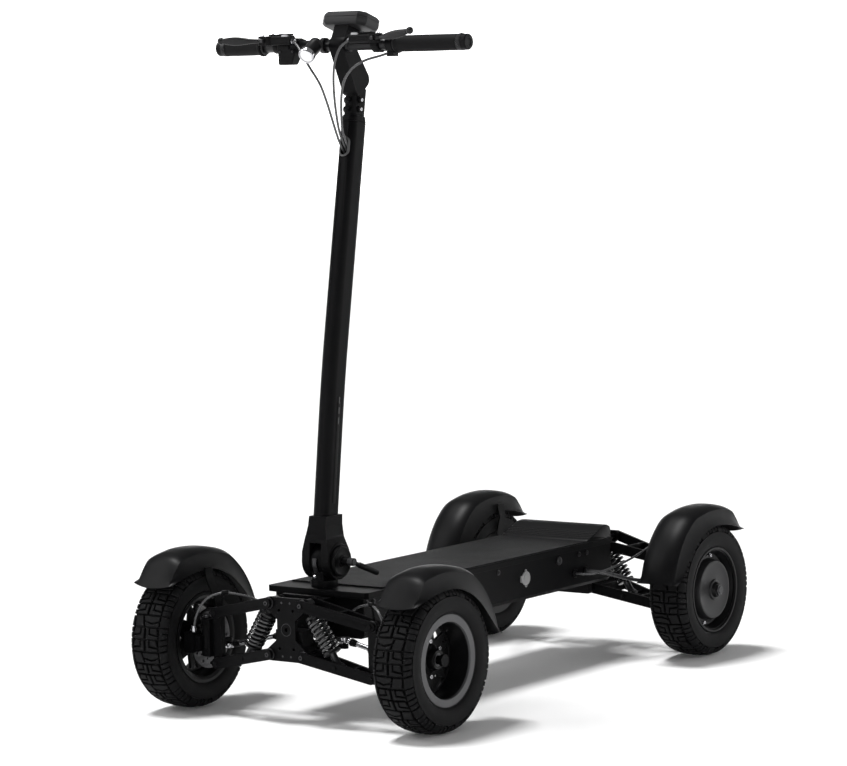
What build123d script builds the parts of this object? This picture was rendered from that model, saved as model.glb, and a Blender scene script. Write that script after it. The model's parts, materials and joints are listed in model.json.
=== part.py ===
from build123d import *
import math
import os

# A four-wheel stand-up electric board, in millimetres.
# +X is forward, +Y is the rider's left, +Z is up; the origin is on the ground at mid wheelbase.

# ------------------------------------------------------------------ driving sizes
WHEELBASE = 997
FRONT_TRACK = 589
REAR_TRACK = 557
TYRE_R = 141
TYRE_WIDTH = 90
BEAD_R = 83
RIM_FLANGE_R = 90
RIM_WIDTH = TYRE_WIDTH - 8
RIM_DISH = 12
HUB_R = 25
STUB_AXLE_R = 8
AXLE_END = 24
DISC_R = 60
DISC_INSET = 52
AXLE_X = WHEELBASE / 2

DECK_TOP = TYRE_R + 109
DECK_THICK = 12
DECK_HALF_WIDTH = 112
DECK_NOSE_HALF_WIDTH = 122
DECK_FRONT = AXLE_X - 31.5
CHASSIS_REAR = 76.5 - AXLE_X
CHASSIS_FRONT = AXLE_X - 40.5
CHASSIS_HALF_WIDTH = 107
CHASSIS_BOTTOM = DECK_TOP - 92
CHASSIS_WALL = 4
MAT_THICK = 2.4
MAT_FRONT = DECK_FRONT - 65
GROMMET_R = 8
GROMMET_THICK = 3
THIN_LEAD_X = 141
MAIN_LEAD_X = 99
KICK_FOOT = CHASSIS_REAR + 94
KICK_HEIGHT = 28

PIVOT_Y = 41
UPPER_PIVOT_Z = TYRE_R + 93
PIVOT_GAP = 100
ARM_REACH = 147.5
ARM_DROP = 32.7
ARM_EDGE_R = 10.5
ARM_BAR = 7
PIN_R = 5
SHOCK_PIN_R = 4
SHOCK_PIN_REACH = 71.6
SPRING_R = 18
SPRING_WIRE = 5.5

STEER_X = AXLE_X - 58.5
STEER_ARM_REACH = 34
LINK_X = AXLE_X - 24.5
LINK_BALL_Y = 70.5
LINK_BALL_Z = TYRE_R + 16.5
BALL_R = 7
KINGPIN_X = AXLE_X + 39
KINGPIN_R = 6
KNUCKLE_LOW = TYRE_R - 15
KNUCKLE_HIGH = TYRE_R + 35
EAR_THICK = 12
STEER_SHAFT_R = 12
POST_R = 26.5

HINGE_X = STEER_X - 7
HINGE_Z = DECK_TOP + 53
BARREL_R = 36
BARREL_HALF_WIDTH = 32.5
HINGE_PIN_R = 8
TONGUE_HALF_WIDTH = 13.5
TUBE_DEPTH = 50
TUBE_WIDTH = 36
TUBE_CORNER = 14
TUBE_WALL = 3
TUBE_BOTTOM_Z = HINGE_Z + 49
TUBE_TOP_Z = HINGE_Z + 847
LEAN_LOW = 7.41
LEAN_HIGH = 10.04
BEND_X = HINGE_X - 36.6
BEND_Z = HINGE_Z + 354
BEND_RADIUS = 4000
STUB_DEPTH = TUBE_DEPTH - 2 * TUBE_WALL - 4
STUB_WIDTH = TUBE_WIDTH - 2 * TUBE_WALL - 2
STUB_CORNER = 9
STUB_TOP_Z = TUBE_TOP_Z + 66
PORT_Z = TUBE_TOP_Z - 50
PORT_WIDTH = 18
PORT_HEIGHT = 36

BAR_X = HINGE_X - 90
BAR_Z = TUBE_TOP_Z + 150
BAR_R = 11
BAR_HALF_LENGTH = 302.5
GRIP_R = BAR_R + 4.5
GRIP_END = 280
LEFT_GRIP_START = 135
RIGHT_GRIP_START = 190
LEFT_LEVER_Y = 112
RIGHT_LEVER_Y = 172
LEFT_BAND_Y = 90
RIGHT_BAND_Y = 106
LEVER_X = BAR_X + BAR_R + 18
LEVER_Z = BAR_Z + 12
LEVER_REACH = 93
THROTTLE_Y = -130
CLAMP_WALL = 2.5

DISPLAY_X = BAR_X - 34
DISPLAY_Z = BAR_Z + 47
DISPLAY_TILT = 18
DISPLAY_DEPTH = 70
DISPLAY_WIDTH = 97
DISPLAY_THICK = 28
HEADLIGHT_BACK = (BAR_X + 23, -40, BAR_Z + 6)
HEADLIGHT_LENS = (BAR_X + 63, -40, BAR_Z - 21)

FENDER_R = TYRE_R + 37
FENDER_HALF_WIDTH = TYRE_WIDTH / 2 + 5.5
FENDER_THICK = 3
FENDER_TIP_ANGLE = 50
FENDER_LOW_ANGLE = 10

# ------------------------------------------------------------------ clearances
RUN = 0.05        # radial clearance of a pin or shaft that turns in its bore
SEAT = 0.3        # gap between two pieces that are fastened face to face
SWING = 1.3       # play at a pivot where a closed linkage is opened
LINK_PLAY = 3.2   # the same, at the steering balls, whose paths are arcs

LOWER_PIVOT_Z = UPPER_PIVOT_Z - PIVOT_GAP
OUTER_Y = PIVOT_Y + ARM_REACH
KINGPIN_Y = LINK_BALL_Y + ARM_REACH
DECK_BOTTOM = DECK_TOP - DECK_THICK
DISC_Y = FRONT_TRACK / 2 - DISC_INSET
PADDLE_Y = THROTTLE_Y - 13 - SEAT - 8


# ------------------------------------------------------------------ building blocks
def rod_x(radius, y, z, x0, x1):
    return Pos((x0 + x1) / 2, y, z) * Rot(0, 90, 0) * Cylinder(radius, x1 - x0)


def rod_y(radius, x, z, y0, y1):
    return Pos(x, (y0 + y1) / 2, z) * Rot(90, 0, 0) * Cylinder(radius, y1 - y0)


def rod_z(radius, x, y, z0, z1):
    return Pos(x, y, (z0 + z1) / 2) * Cylinder(radius, z1 - z0)


def rod_between(start, end, radius):
    a = Vector(start)
    b = Vector(end)
    return Plane(origin=(a + b) / 2, z_dir=b - a) * Cylinder(radius, (b - a).length)


def block(x0, x1, y0, y1, z0, z1):
    return Pos((x0 + x1) / 2, (y0 + y1) / 2, (z0 + z1) / 2) * Box(x1 - x0, y1 - y0, z1 - z0)


def slab_x(sketch, x0, x1):
    """Sketch drawn in (y, z), extruded from x0 to x1."""
    return extrude(Plane.YZ.offset(x0) * sketch, x1 - x0)


def slab_y(sketch, y0, y1):
    """Sketch drawn in (x, z), extruded from y0 to y1."""
    return extrude(Plane.XZ.offset(-y1) * sketch, y1 - y0)


def slab_z(sketch, z0, z1):
    """Sketch drawn in (x, y), extruded from z0 to z1."""
    return extrude(Plane.XY.offset(z0) * sketch, z1 - z0)


def capsule(p, q, radius):
    """Two points joined by a strip with round ends."""
    length = math.dist(p, q)
    angle = math.degrees(math.atan2(q[1] - p[1], q[0] - p[0]))
    middle = Pos((p[0] + q[0]) / 2, (p[1] + q[1]) / 2)
    return middle * Rot(0, 0, angle) * SlotCenterToCenter(length, 2 * radius)


def shape(*points):
    return Polygon(*points, align=None)


def turned(points, x, y, z):
    """Profile of (offset along Y, radius) points turned about an axle along Y."""
    return Pos(x, y, z) * revolve(Plane.YZ * shape(*points), Axis.Y, 360)


def mirrored(pieces, plane):
    return [mirror(piece, about=plane) for piece in pieces]


nodes = {}


def keep(name, *pieces):
    nodes[name] = [solid for piece in pieces for solid in piece.solids()]


# ------------------------------------------------------------------ chassis
def chassis_box():
    top = DECK_BOTTOM - SEAT
    outer = block(CHASSIS_REAR, CHASSIS_FRONT, -CHASSIS_HALF_WIDTH, CHASSIS_HALF_WIDTH, CHASSIS_BOTTOM, top)
    outer = chamfer(outer.edges().filter_by(Axis.X).group_by(Axis.Z)[0], 8)
    inside = CHASSIS_HALF_WIDTH - CHASSIS_WALL
    cavity = block(CHASSIS_REAR + CHASSIS_WALL, CHASSIS_FRONT - CHASSIS_WALL, -inside, inside,
                   CHASSIS_BOTTOM + CHASSIS_WALL, top + 1)
    shaft_hole = rod_z(STEER_SHAFT_R + RUN, STEER_X, 0, CHASSIS_BOTTOM - 1, top + 1)
    head = rod_z(STEER_SHAFT_R + 6, STEER_X, 0, CHASSIS_BOTTOM, top)
    web = block(STEER_X, CHASSIS_FRONT - 1, -8, 8, CHASSIS_BOTTOM, top)
    return outer - cavity + head + web - shaft_hole


def deck_plate():
    nose = DECK_NOSE_HALF_WIDTH
    side = DECK_HALF_WIDTH
    half = [(DECK_FRONT, 0), (DECK_FRONT, nose - 6), (DECK_FRONT - 6, nose), (DECK_FRONT - 82, nose),
            (DECK_FRONT - 122, side), (CHASSIS_REAR, side), (CHASSIS_REAR, 0)]
    other = [(x, -y) for x, y in reversed(half[1:-1])]
    plate = slab_z(shape(*half, *other), DECK_BOTTOM, DECK_TOP)
    return plate - rod_z(STEER_SHAFT_R + RUN, STEER_X, 0, DECK_BOTTOM - 1, DECK_TOP + 1)


def kick_pad():
    foot = DECK_TOP + SEAT
    top = foot + KICK_HEIGHT
    rear = CHASSIS_REAR
    side = shape((KICK_FOOT, foot), (rear + 38, top - 2), (rear + 30, top), (rear + 8, top),
                 (rear, top - 7), (rear, foot))
    pad = slab_y(side, -DECK_HALF_WIDTH + 2, DECK_HALF_WIDTH - 2)
    slope = math.atan2(KICK_HEIGHT - 2, rear + 38 - KICK_FOOT)
    grooves = 6
    for i in range(grooves):
        x = KICK_FOOT - 10 - i * 6.5
        z = foot + (x - KICK_FOOT) * math.tan(slope)
        pad -= block(x - 1, x + 1, -DECK_HALF_WIDTH + 10, DECK_HALF_WIDTH - 10, z - 1.2, z + 5)
    return pad


def chassis():
    keep("chassis_box", chassis_box())
    keep("deck_plate", deck_plate())
    mat_side = DECK_HALF_WIDTH - 2
    keep("grip_mat", block(KICK_FOOT + 2, MAT_FRONT, -mat_side, mat_side, DECK_TOP + 0.2,
                           DECK_TOP + 0.2 + MAT_THICK))
    keep("kick_pad", kick_pad())
    floor = CHASSIS_BOTTOM + CHASSIS_WALL + SEAT
    roof = DECK_BOTTOM - 6
    battery_start = CHASSIS_REAR + 12
    controller_start = CHASSIS_FRONT - 243
    packs = 3
    pack_gap = 4
    pitch = (controller_start - 13 - battery_start) / packs
    pack = pitch - pack_gap
    battery = [block(battery_start + i * pitch, battery_start + i * pitch + pack, -96, 96, floor, roof)
               for i in range(packs)]
    controller = block(controller_start, CHASSIS_FRONT - 63, -80, 80, floor, roof - 12)
    keep("battery_and_controller", *battery, controller)
    side = CHASSIS_HALF_WIDTH + SEAT
    cap = rod_y(11, -98, DECK_TOP - 46, side, side + 4)
    switch = rod_y(7, -222, DECK_TOP - 26, side, side + 5)
    screw_places = (CHASSIS_FRONT - 32, CHASSIS_FRONT - 10, -1, CHASSIS_REAR + 122, CHASSIS_REAR + 92)
    screws = [rod_y(3.5, x, DECK_TOP - 22, side, side + 2) for x in screw_places]
    grommets = [rod_y(GROMMET_R, CHASSIS_REAR + x, DECK_TOP - 60, side, side + GROMMET_THICK)
                for x in (THIN_LEAD_X, MAIN_LEAD_X)]
    left = [cap, switch, *screws, *grommets]
    right = mirrored([*screws, *grommets], Plane.XZ)
    keep("side_fittings", *left, *right)


# ------------------------------------------------------------------ suspension layout
# Every corner is drawn at the front left and mirrored to its place. x runs away from the deck.
class End:
    """Where the bars and plates of one end's suspension lie along x, given from the axle."""

    def __init__(self, near_in, near_out, far_in, far_out, near_plate, far_plate, shock_x, upright_x):
        self.near_in = AXLE_X + near_in
        self.near_out = AXLE_X + near_out
        self.far_in = AXLE_X + far_in
        self.far_out = AXLE_X + far_out
        self.near_plate = (AXLE_X + near_plate[0], AXLE_X + near_plate[1])
        self.far_plate = (AXLE_X + far_plate[0], AXLE_X + far_plate[1])
        self.shock_x = AXLE_X + shock_x
        self.upright_x = (AXLE_X + upright_x[0], AXLE_X + upright_x[1])
        self.pin_start = self.near_plate[0] - 1
        self.pin_end = self.far_in + 1


FRONT = End(24.5, 24.5, 76.5, 53.5, (14.5, 22.5), (58.5, 66.5), 48.5, (32.1, 44.3))
REAR = End(-57.5, -22.5, 57.5, 22.5, (-68.5, -61.5), (38.5, 46.5), 0, (-11.5, 11.5))


def tower_plate(x0, x1, holes):
    low = LOWER_PIVOT_Z
    high = UPPER_PIVOT_Z
    ear = 12
    web = 22
    outline = capsule((-PIVOT_Y, high), (PIVOT_Y, high), ear)
    outline += capsule((-PIVOT_Y, low), (PIVOT_Y, low), ear)
    outline += shape((-web, low), (web, low), (web, high), (-web, high))
    reach = PIVOT_Y + 9
    outline += shape((-reach, high - 8), (-web, high - 31), (web, high - 31), (reach, high - 8))
    outline += shape((-reach, low + 8), (reach, low + 8), (web, low + 31), (-web, low + 31))
    plate = slab_x(outline, x0, x1)
    for y in (-PIVOT_Y, PIVOT_Y):
        for z in (low, high):
            plate -= rod_x(PIN_R + RUN, y, z, x0 - 1, x1 + 1)
    if holes:
        for y in (-17, 17):
            for z in (low + 12.8, high - 12.8):
                plate -= rod_x(3, y, z, x0 - 1, x1 + 1)
        plate -= rod_x(4, 0, (low + high) / 2, x0 - 1, x1 + 1)
    return plate


def tower(end, nose_start, nose_half_width, nose_low, nose_high, open_holes):
    near = tower_plate(*end.near_plate, False)
    far = tower_plate(*end.far_plate, open_holes)
    spacer = block(end.near_plate[1] + SEAT, end.far_plate[0] - SEAT, -32, 32,
                   LOWER_PIVOT_Z + 16, LOWER_PIVOT_Z + 48)
    nose = block(nose_start + SEAT, end.near_plate[0] - SEAT, -nose_half_width, nose_half_width,
                 nose_low, nose_high)
    pins = [rod_x(PIN_R, y, z, end.pin_start, end.pin_end)
            for y in (-PIVOT_Y, PIVOT_Y) for z in (LOWER_PIVOT_Z, UPPER_PIVOT_Z)]
    return [near, far, spacer, nose, *pins]


def along(y, inner, outer):
    """x of an arm's bar at y, given its x at the inner and at the outer pivot."""
    return inner + (outer - inner) * (y - PIVOT_Y) / ARM_REACH


def arm(end, pivot_z, cross_bars):
    """A wishbone: two flat bars on edge, joined by cross bars."""
    y0 = PIVOT_Y - ARM_EDGE_R - 1
    y1 = OUTER_Y + ARM_EDGE_R + 1
    near = shape((along(y0, end.near_in, end.near_out), y0),
                 (along(y0, end.near_in, end.near_out) + ARM_BAR, y0),
                 (along(y1, end.near_in, end.near_out) + ARM_BAR, y1),
                 (along(y1, end.near_in, end.near_out), y1))
    far = shape((along(y0, end.far_in, end.far_out) - ARM_BAR, y0),
                (along(y0, end.far_in, end.far_out), y0),
                (along(y1, end.far_in, end.far_out), y1),
                (along(y1, end.far_in, end.far_out) - ARM_BAR, y1))
    plan = near + far
    for y in cross_bars:
        start = along(y, end.near_in, end.near_out) + 1
        stop = along(y, end.far_in, end.far_out) - 1
        plan += shape((start, y), (stop, y), (stop, y + 6), (start, y + 6))
    side = capsule((PIVOT_Y, pivot_z), (OUTER_Y, pivot_z - ARM_DROP), ARM_EDGE_R)
    body = slab_z(plan, pivot_z - 90, pivot_z + 60) & slab_x(side, end.near_in - 20, end.far_in + 20)
    body += rod_x(9, PIVOT_Y, pivot_z, end.near_plate[1] + SEAT, end.near_in + 4)
    body += rod_x(9, PIVOT_Y, pivot_z, end.far_plate[1] + SEAT, end.far_in - 2)
    for y, z in ((PIVOT_Y, pivot_z), (OUTER_Y, pivot_z - ARM_DROP)):
        body -= rod_x(PIN_R + RUN, y, z, end.near_in - 30, end.far_in + 30)
    return body


def shock_lower_pin():
    """Place (y, z) of the shock's pin on the lower arm's centre line."""
    return (PIVOT_Y + SHOCK_PIN_REACH, LOWER_PIVOT_Z - ARM_DROP * SHOCK_PIN_REACH / ARM_REACH)


def lower_arm(end):
    y, z = shock_lower_pin()
    body = arm(end, LOWER_PIVOT_Z, (58, 148))
    start = along(y, end.near_in, end.near_out) - 2
    stop = along(y, end.far_in, end.far_out) + 2
    body -= rod_x(SHOCK_PIN_R + RUN, y, z, start - 5, stop + 5)
    return [body, rod_x(SHOCK_PIN_R, y, z, start, stop)]


class Shock:
    """A coil-over between the upper inner pivot and the lower arm's pin; s is the distance down it."""

    def __init__(self, end):
        self.x = end.shock_x
        low = shock_lower_pin()
        self.length = math.dist((PIVOT_Y, UPPER_PIVOT_Z), low)
        self.direction = ((low[0] - PIVOT_Y) / self.length, (low[1] - UPPER_PIVOT_Z) / self.length)
        self.upper_seat = (26, 30)
        self.lower_seat = (self.length - 33.7, self.length - 30)
        self.body_end = 88

    def at(self, s):
        return (self.x, PIVOT_Y + self.direction[0] * s, UPPER_PIVOT_Z + self.direction[1] * s)

    def rod(self, radius, s0, s1):
        return rod_between(self.at(s0), self.at(s1), radius)

    def body(self):
        eye = rod_x(10, PIVOT_Y, UPPER_PIVOT_Z, self.x - 9, self.x + 9)
        solid = eye + self.rod(8, 4, 28) + self.rod(SPRING_R - 1, *self.upper_seat)
        solid += self.rod(11, 28, self.body_end)
        solid -= self.rod(6 + RUN, 34, self.body_end + 1)
        return solid - rod_x(PIN_R + RUN, PIVOT_Y, UPPER_PIVOT_Z, self.x - 10, self.x + 10)

    def piston(self):
        x, y, z = self.at(self.length)
        solid = self.rod(6, 50, self.lower_seat[0] + 1) + self.rod(SPRING_R - 1, *self.lower_seat)
        solid += self.rod(7, self.lower_seat[0] + 1, self.length - 4)
        solid += rod_x(9, y, z, x - 7.5, x + 7.5)
        return solid - rod_x(SHOCK_PIN_R + SWING, y, z, x - 10, x + 10)

    def spring(self):
        start = self.upper_seat[1] + SEAT
        stop = self.lower_seat[0] - SEAT
        return self.rod(SPRING_R, start, stop) - self.rod(SPRING_R - SPRING_WIRE, start - 1, stop + 1)


# ------------------------------------------------------------------ uprights and wheels
def upright_block(end):
    """The link between the two arms' outer ends, with its two pivot pins."""
    top = UPPER_PIVOT_Z - ARM_DROP
    low = LOWER_PIVOT_Z - ARM_DROP
    x0, x1 = end.upright_x
    web = slab_x(capsule((OUTER_Y, low), (OUTER_Y, top), ARM_EDGE_R - 0.5), x0, x1)
    for z in (low, top):
        web -= rod_x(PIN_R + RUN, OUTER_Y, z, x0 - 1, x1 + 1)
    pins = [rod_x(PIN_R, OUTER_Y, z, end.near_out - 2, end.far_out + 2) for z in (low, top)]
    return web, pins


def front_upright():
    web, pins = upright_block(FRONT)
    face = OUTER_Y + ARM_EDGE_R + 1.5
    carrier = block(KINGPIN_X - 15, KINGPIN_X + 15, face, face + 6, KNUCKLE_LOW - EAR_THICK - SEAT,
                    KNUCKLE_HIGH + EAR_THICK + SEAT)
    neck = block(FRONT.upright_x[0], FRONT.upright_x[1], OUTER_Y, face + 1, KNUCKLE_LOW - EAR_THICK,
                 KNUCKLE_HIGH + EAR_THICK)
    body = web + carrier + neck
    for z0 in (KNUCKLE_LOW - EAR_THICK - SEAT, KNUCKLE_HIGH + SEAT):
        ear = capsule((KINGPIN_X, face), (KINGPIN_X, KINGPIN_Y), 12)
        beyond_face = block(KINGPIN_X - 50, KINGPIN_X + 50, face, KINGPIN_Y + 50, 0, 999)
        body += slab_z(ear, z0, z0 + EAR_THICK) & beyond_face
    body -= rod_z(KINGPIN_R + RUN, KINGPIN_X, KINGPIN_Y, KNUCKLE_LOW - 50, KNUCKLE_HIGH + 50)
    kingpin = rod_z(KINGPIN_R, KINGPIN_X, KINGPIN_Y, KNUCKLE_LOW - EAR_THICK - 2,
                    KNUCKLE_HIGH + EAR_THICK + 2)
    return [body, kingpin, *pins]


def wheel_centre(track):
    return (AXLE_X, track / 2, TYRE_R)


def knuckle():
    x, y, z = wheel_centre(FRONT_TRACK)
    barrel = rod_z(11, KINGPIN_X, KINGPIN_Y, KNUCKLE_LOW, KNUCKLE_HIGH)
    plate_low = KINGPIN_Y - 1.5
    plate_high = KINGPIN_Y + 10
    side = shape((x - 6, z - 7), (KINGPIN_X, z - 14), (KINGPIN_X, z + 24), (x + 8, z + 42), (x - 12, z + 42),
                 (x - 12, z))
    body = barrel + slab_y(side, plate_low, plate_high)
    body += rod_y(12, x, z, plate_low, plate_high + 3)
    body += rod_y(STUB_AXLE_R, x, z, plate_high, y + AXLE_END)
    body += block(KINGPIN_X, x + DISC_R, KINGPIN_Y + 2, DISC_Y - 10 - SEAT, z - 14, z + 14)
    ball_z = LINK_BALL_Z - ARM_DROP
    steer_arm = capsule((LINK_X, KINGPIN_Y), (x + 2, KINGPIN_Y), 9)
    body += slab_z(steer_arm, ball_z + 9, ball_z + 15)
    body += rod_z(SHOCK_PIN_R, LINK_X, KINGPIN_Y, ball_z - 8, ball_z + 10)
    body -= rod_z(KINGPIN_R + RUN, KINGPIN_X, KINGPIN_Y, KNUCKLE_LOW - 20, KNUCKLE_HIGH + 20)
    return body


def caliper():
    """Two pads' housing astride the disc, ahead of the axle, on a lug of the knuckle."""
    x, y, z = wheel_centre(FRONT_TRACK)
    side = shape((x + 40, z - 20), (x + DISC_R + 7, z - 20), (x + DISC_R + 7, z + 20), (x + 40, z + 20))
    body = slab_y(side, DISC_Y - 10, DISC_Y + 12)
    slot = block(x, x + DISC_R + 2, DISC_Y - 1.5, DISC_Y + 4.5, z - 40, z + 40)
    return body - slot


def rim_front():
    x, y, z = wheel_centre(FRONT_TRACK)
    half = RIM_WIDTH / 2
    seat = BEAD_R - SEAT
    inner = seat - 4
    barrel = turned([(-half, RIM_FLANGE_R - 13), (-half, RIM_FLANGE_R), (-half + 3.5, RIM_FLANGE_R),
                     (-half + 3.5, seat), (half - 3.5, seat), (half - 3.5, RIM_FLANGE_R),
                     (half, RIM_FLANGE_R), (half, 73), (half - 3, 73), (half - 6, inner),
                     (-half + 6, inner), (-half + 6, RIM_FLANGE_R - 13)], x, y, z)
    spider = turned([(-RIM_DISH, 0), (-RIM_DISH, inner + 1), (-RIM_DISH + 6, inner + 1), (-RIM_DISH + 6, 0)],
                    x, y, z)
    spokes = 6
    for i in range(spokes):
        window = shape((38, -7), (66, -22), (71, 0), (66, 22), (38, 7))
        cut = extrude(Plane.XZ * window, 60, both=True)
        spider -= Pos(x, y, z) * Rot(0, 360 / spokes * (i + 0.5), 0) * cut
    hub = rod_y(HUB_R, x, z, y - 36, y + 14)
    body = barrel + spider + hub
    bore_start = y - 37
    body -= rod_y(STUB_AXLE_R + 6, x, z, bore_start, y + 15)
    return body


def bearings():
    x, y, z = wheel_centre(FRONT_TRACK)
    pieces = []
    for y0 in (y - 34, y + 2):
        ring = rod_y(STUB_AXLE_R + 6 - RUN, x, z, y0, y0 + 10)
        pieces.append(ring - rod_y(STUB_AXLE_R + RUN, x, z, y0 - 1, y0 + 11))
    return pieces


def brake_disc():
    x, y, z = wheel_centre(FRONT_TRACK)
    disc = rod_y(DISC_R, x, z, DISC_Y, DISC_Y + 3) - rod_y(30, x, z, DISC_Y - 1, DISC_Y + 4)
    for i in range(12):
        disc -= Pos(x, 0, z) * Rot(0, 30 * i, 0) * rod_y(4, DISC_R - 9, 0, DISC_Y - 1, DISC_Y + 4)
    carrier = rod_y(33, x, z, DISC_Y + 3 + SEAT, y - 36 - SEAT) - rod_y(14, x, z, DISC_Y, y - 30)
    return [disc, carrier]


def axle_nut(y0):
    return rod_y(12, AXLE_X, TYRE_R, y0, y0 + 7)


def tyre(track):
    x, y, z = wheel_centre(track)
    half = TYRE_WIDTH / 2
    bead = RIM_WIDTH / 2 - 3.5 - SEAT
    height = TYRE_R - BEAD_R
    wall_low, wall_mid, wall_high = [BEAD_R + height * share / 58 for share in (14, 23, 35)]
    right = [(bead, BEAD_R), (bead, RIM_FLANGE_R + 2), (half - 3, wall_low), (half, wall_mid),
             (half, wall_high), (half - 3, TYRE_R - 13), (half - 10, TYRE_R - 4), (half - 22, TYRE_R)]
    left = [(-a, r) for a, r in reversed(right)]
    carcass = turned(right + left, x, y, z)
    air_low = BEAD_R + height * 8 / 58
    air_high = BEAD_R + height * 42 / 58
    air = turned([(-bead + 7, air_low), (-half + 12, wall_mid), (-half + 16, air_high),
                  (half - 16, air_high), (half - 12, wall_mid), (bead - 7, air_low)], x, y, z)
    return carcass - air


def hub_motor():
    """The rear wheel: rim and motor shell in one, turning on bearings about the fixed axle."""
    x, y, z = wheel_centre(REAR_TRACK)
    half = RIM_WIDTH / 2
    seat = BEAD_R - SEAT
    shell = turned([(-half, 73), (-half, RIM_FLANGE_R), (-half + 3.5, RIM_FLANGE_R), (-half + 3.5, seat),
                    (half - 3.5, seat), (half - 3.5, RIM_FLANGE_R), (half, RIM_FLANGE_R), (half, 73),
                    (half - 22, 73), (half - 22, 61), (half - 4, 61), (half - 4, 18), (half + 2, 18),
                    (half + 2, STUB_AXLE_R + RUN), (half - 10, STUB_AXLE_R + RUN), (half - 10, 54),
                    (-half + 10, 54), (-half + 10, STUB_AXLE_R + RUN), (-half - 2, STUB_AXLE_R + RUN),
                    (-half - 2, 22), (-half + 4, 22), (-half + 4, 73)], x, y, z)
    return shell


def rear_upright():
    web, pins = upright_block(REAR)
    x, y, z = wheel_centre(REAR_TRACK)
    inner_face = y - RIM_WIDTH / 2 - 2
    dropout = block(x - 13, x + 13, OUTER_Y, inner_face - 8, z - 20, z + 20)
    axle = rod_y(STUB_AXLE_R, x, z, inner_face - 20, y + RIM_WIDTH / 2 + 6)
    stator = turned([(-26, STUB_AXLE_R - 1), (-26, 20), (-14, 20), (-14, 50), (14, 50), (14, 20), (26, 20),
                     (26, STUB_AXLE_R - 1)], x, y, z)
    lug = block(x - 11, x + 11, OUTER_Y + 8, inner_face - 9, z + 18, z + 62)
    return [web + dropout + axle + stator + lug, *pins]


# ------------------------------------------------------------------ fenders
def fender_half_section(sink):
    """Outer half of the shell's cross-section, sunk by a thickness, from crown to skirt edge."""
    half = FENDER_HALF_WIDTH
    if sink == 0:
        return [(15, FENDER_R), (half - 17, FENDER_R - 3), (half - 5, FENDER_R - 10), (half, FENDER_R - 24),
                (half, FENDER_R - 34)]
    return [(15, FENDER_R - sink), (half - 18, FENDER_R - 3 - sink), (half - 8, FENDER_R - 9.5 - sink),
            (half - sink, FENDER_R - 24), (half - sink, FENDER_R - 34)]


def fender(track, stay_y, stay_low):
    """An arched shell over the tyre, with a stay down to the piece that carries the axle."""
    x, y, z = wheel_centre(track)
    t = FENDER_THICK
    outer_half = fender_half_section(0)
    inner_half = fender_half_section(t)
    outer = [(-a, r) for a, r in reversed(outer_half)] + outer_half
    inner = [*reversed(inner_half), *[(-a, r) for a, r in inner_half]]
    sweep_angle = 180 - FENDER_TIP_ANGLE - FENDER_LOW_ANGLE
    arch = revolve(Plane.YZ * shape(*outer, *inner), Axis.Y, sweep_angle)
    arch = Pos(x, y, z) * Rot(0, FENDER_LOW_ANGLE - 90, 0) * arch
    edge = y - FENDER_HALF_WIDTH
    rise = FENDER_R - 30
    stay = block(x - 12, x + 12, edge - SEAT - 3, edge - SEAT, z + rise - 30, z + rise + 6)
    foot = block(x - 12, x + 12, stay_y - 3, stay_y, stay_low, stay_low + 24)
    bend = stay_low + 23.5 - z
    link = Pos(x, 0, z) * slab_x(shape((stay_y - 3, bend), (stay_y, bend),
                                       (edge - SEAT, rise - 26), (edge - SEAT - 3, rise - 26)), -12, 12)
    return [arch, stay + foot + link]


# ------------------------------------------------------------------ steering
def steering_link():
    """The cross bar that both tie rods hang on; the post's short arm pushes it sideways."""
    z1 = LINK_BALL_Z - 9
    z0 = z1 - 8
    bar = slab_z(capsule((LINK_X, -LINK_BALL_Y), (LINK_X, LINK_BALL_Y), 8), z0, z1)
    pin_x = STEER_X - STEER_ARM_REACH
    bar += slab_z(shape((pin_x - 10, -13), (LINK_X, -13), (LINK_X, 13), (pin_x - 10, 13)), z0, z1)
    for y in (-LINK_BALL_Y, LINK_BALL_Y):
        bar += rod_z(3.2, LINK_X, y, z1 - 1, LINK_BALL_Z)
        bar += Pos(LINK_X, y, LINK_BALL_Z) * Sphere(BALL_R)
    slot = capsule((pin_x - 0.5, 0), (pin_x + LINK_PLAY + 1.2, 0), SHOCK_PIN_R + 0.9)
    return bar - slab_z(slot, z0 - 1, z1 + 1)


def tie_rod():
    inner = (LINK_X, LINK_BALL_Y, LINK_BALL_Z)
    outer = (LINK_X, LINK_BALL_Y + ARM_REACH, LINK_BALL_Z - ARM_DROP)
    body = rod_between(inner, outer, 5)
    body += rod_z(11, inner[0], inner[1], inner[2] - 5, inner[2] + 5)
    body += rod_z(11.5, outer[0], outer[1], outer[2] - 4.5, outer[2] + 4.5)
    body -= Pos(*inner) * Sphere(BALL_R + 2 * RUN)
    body -= rod_z(5.4, inner[0], inner[1], inner[2] - 12, inner[2])
    body -= rod_z(SHOCK_PIN_R + LINK_PLAY, outer[0], outer[1], outer[2] - 12, outer[2] + 12)
    return body


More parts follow.
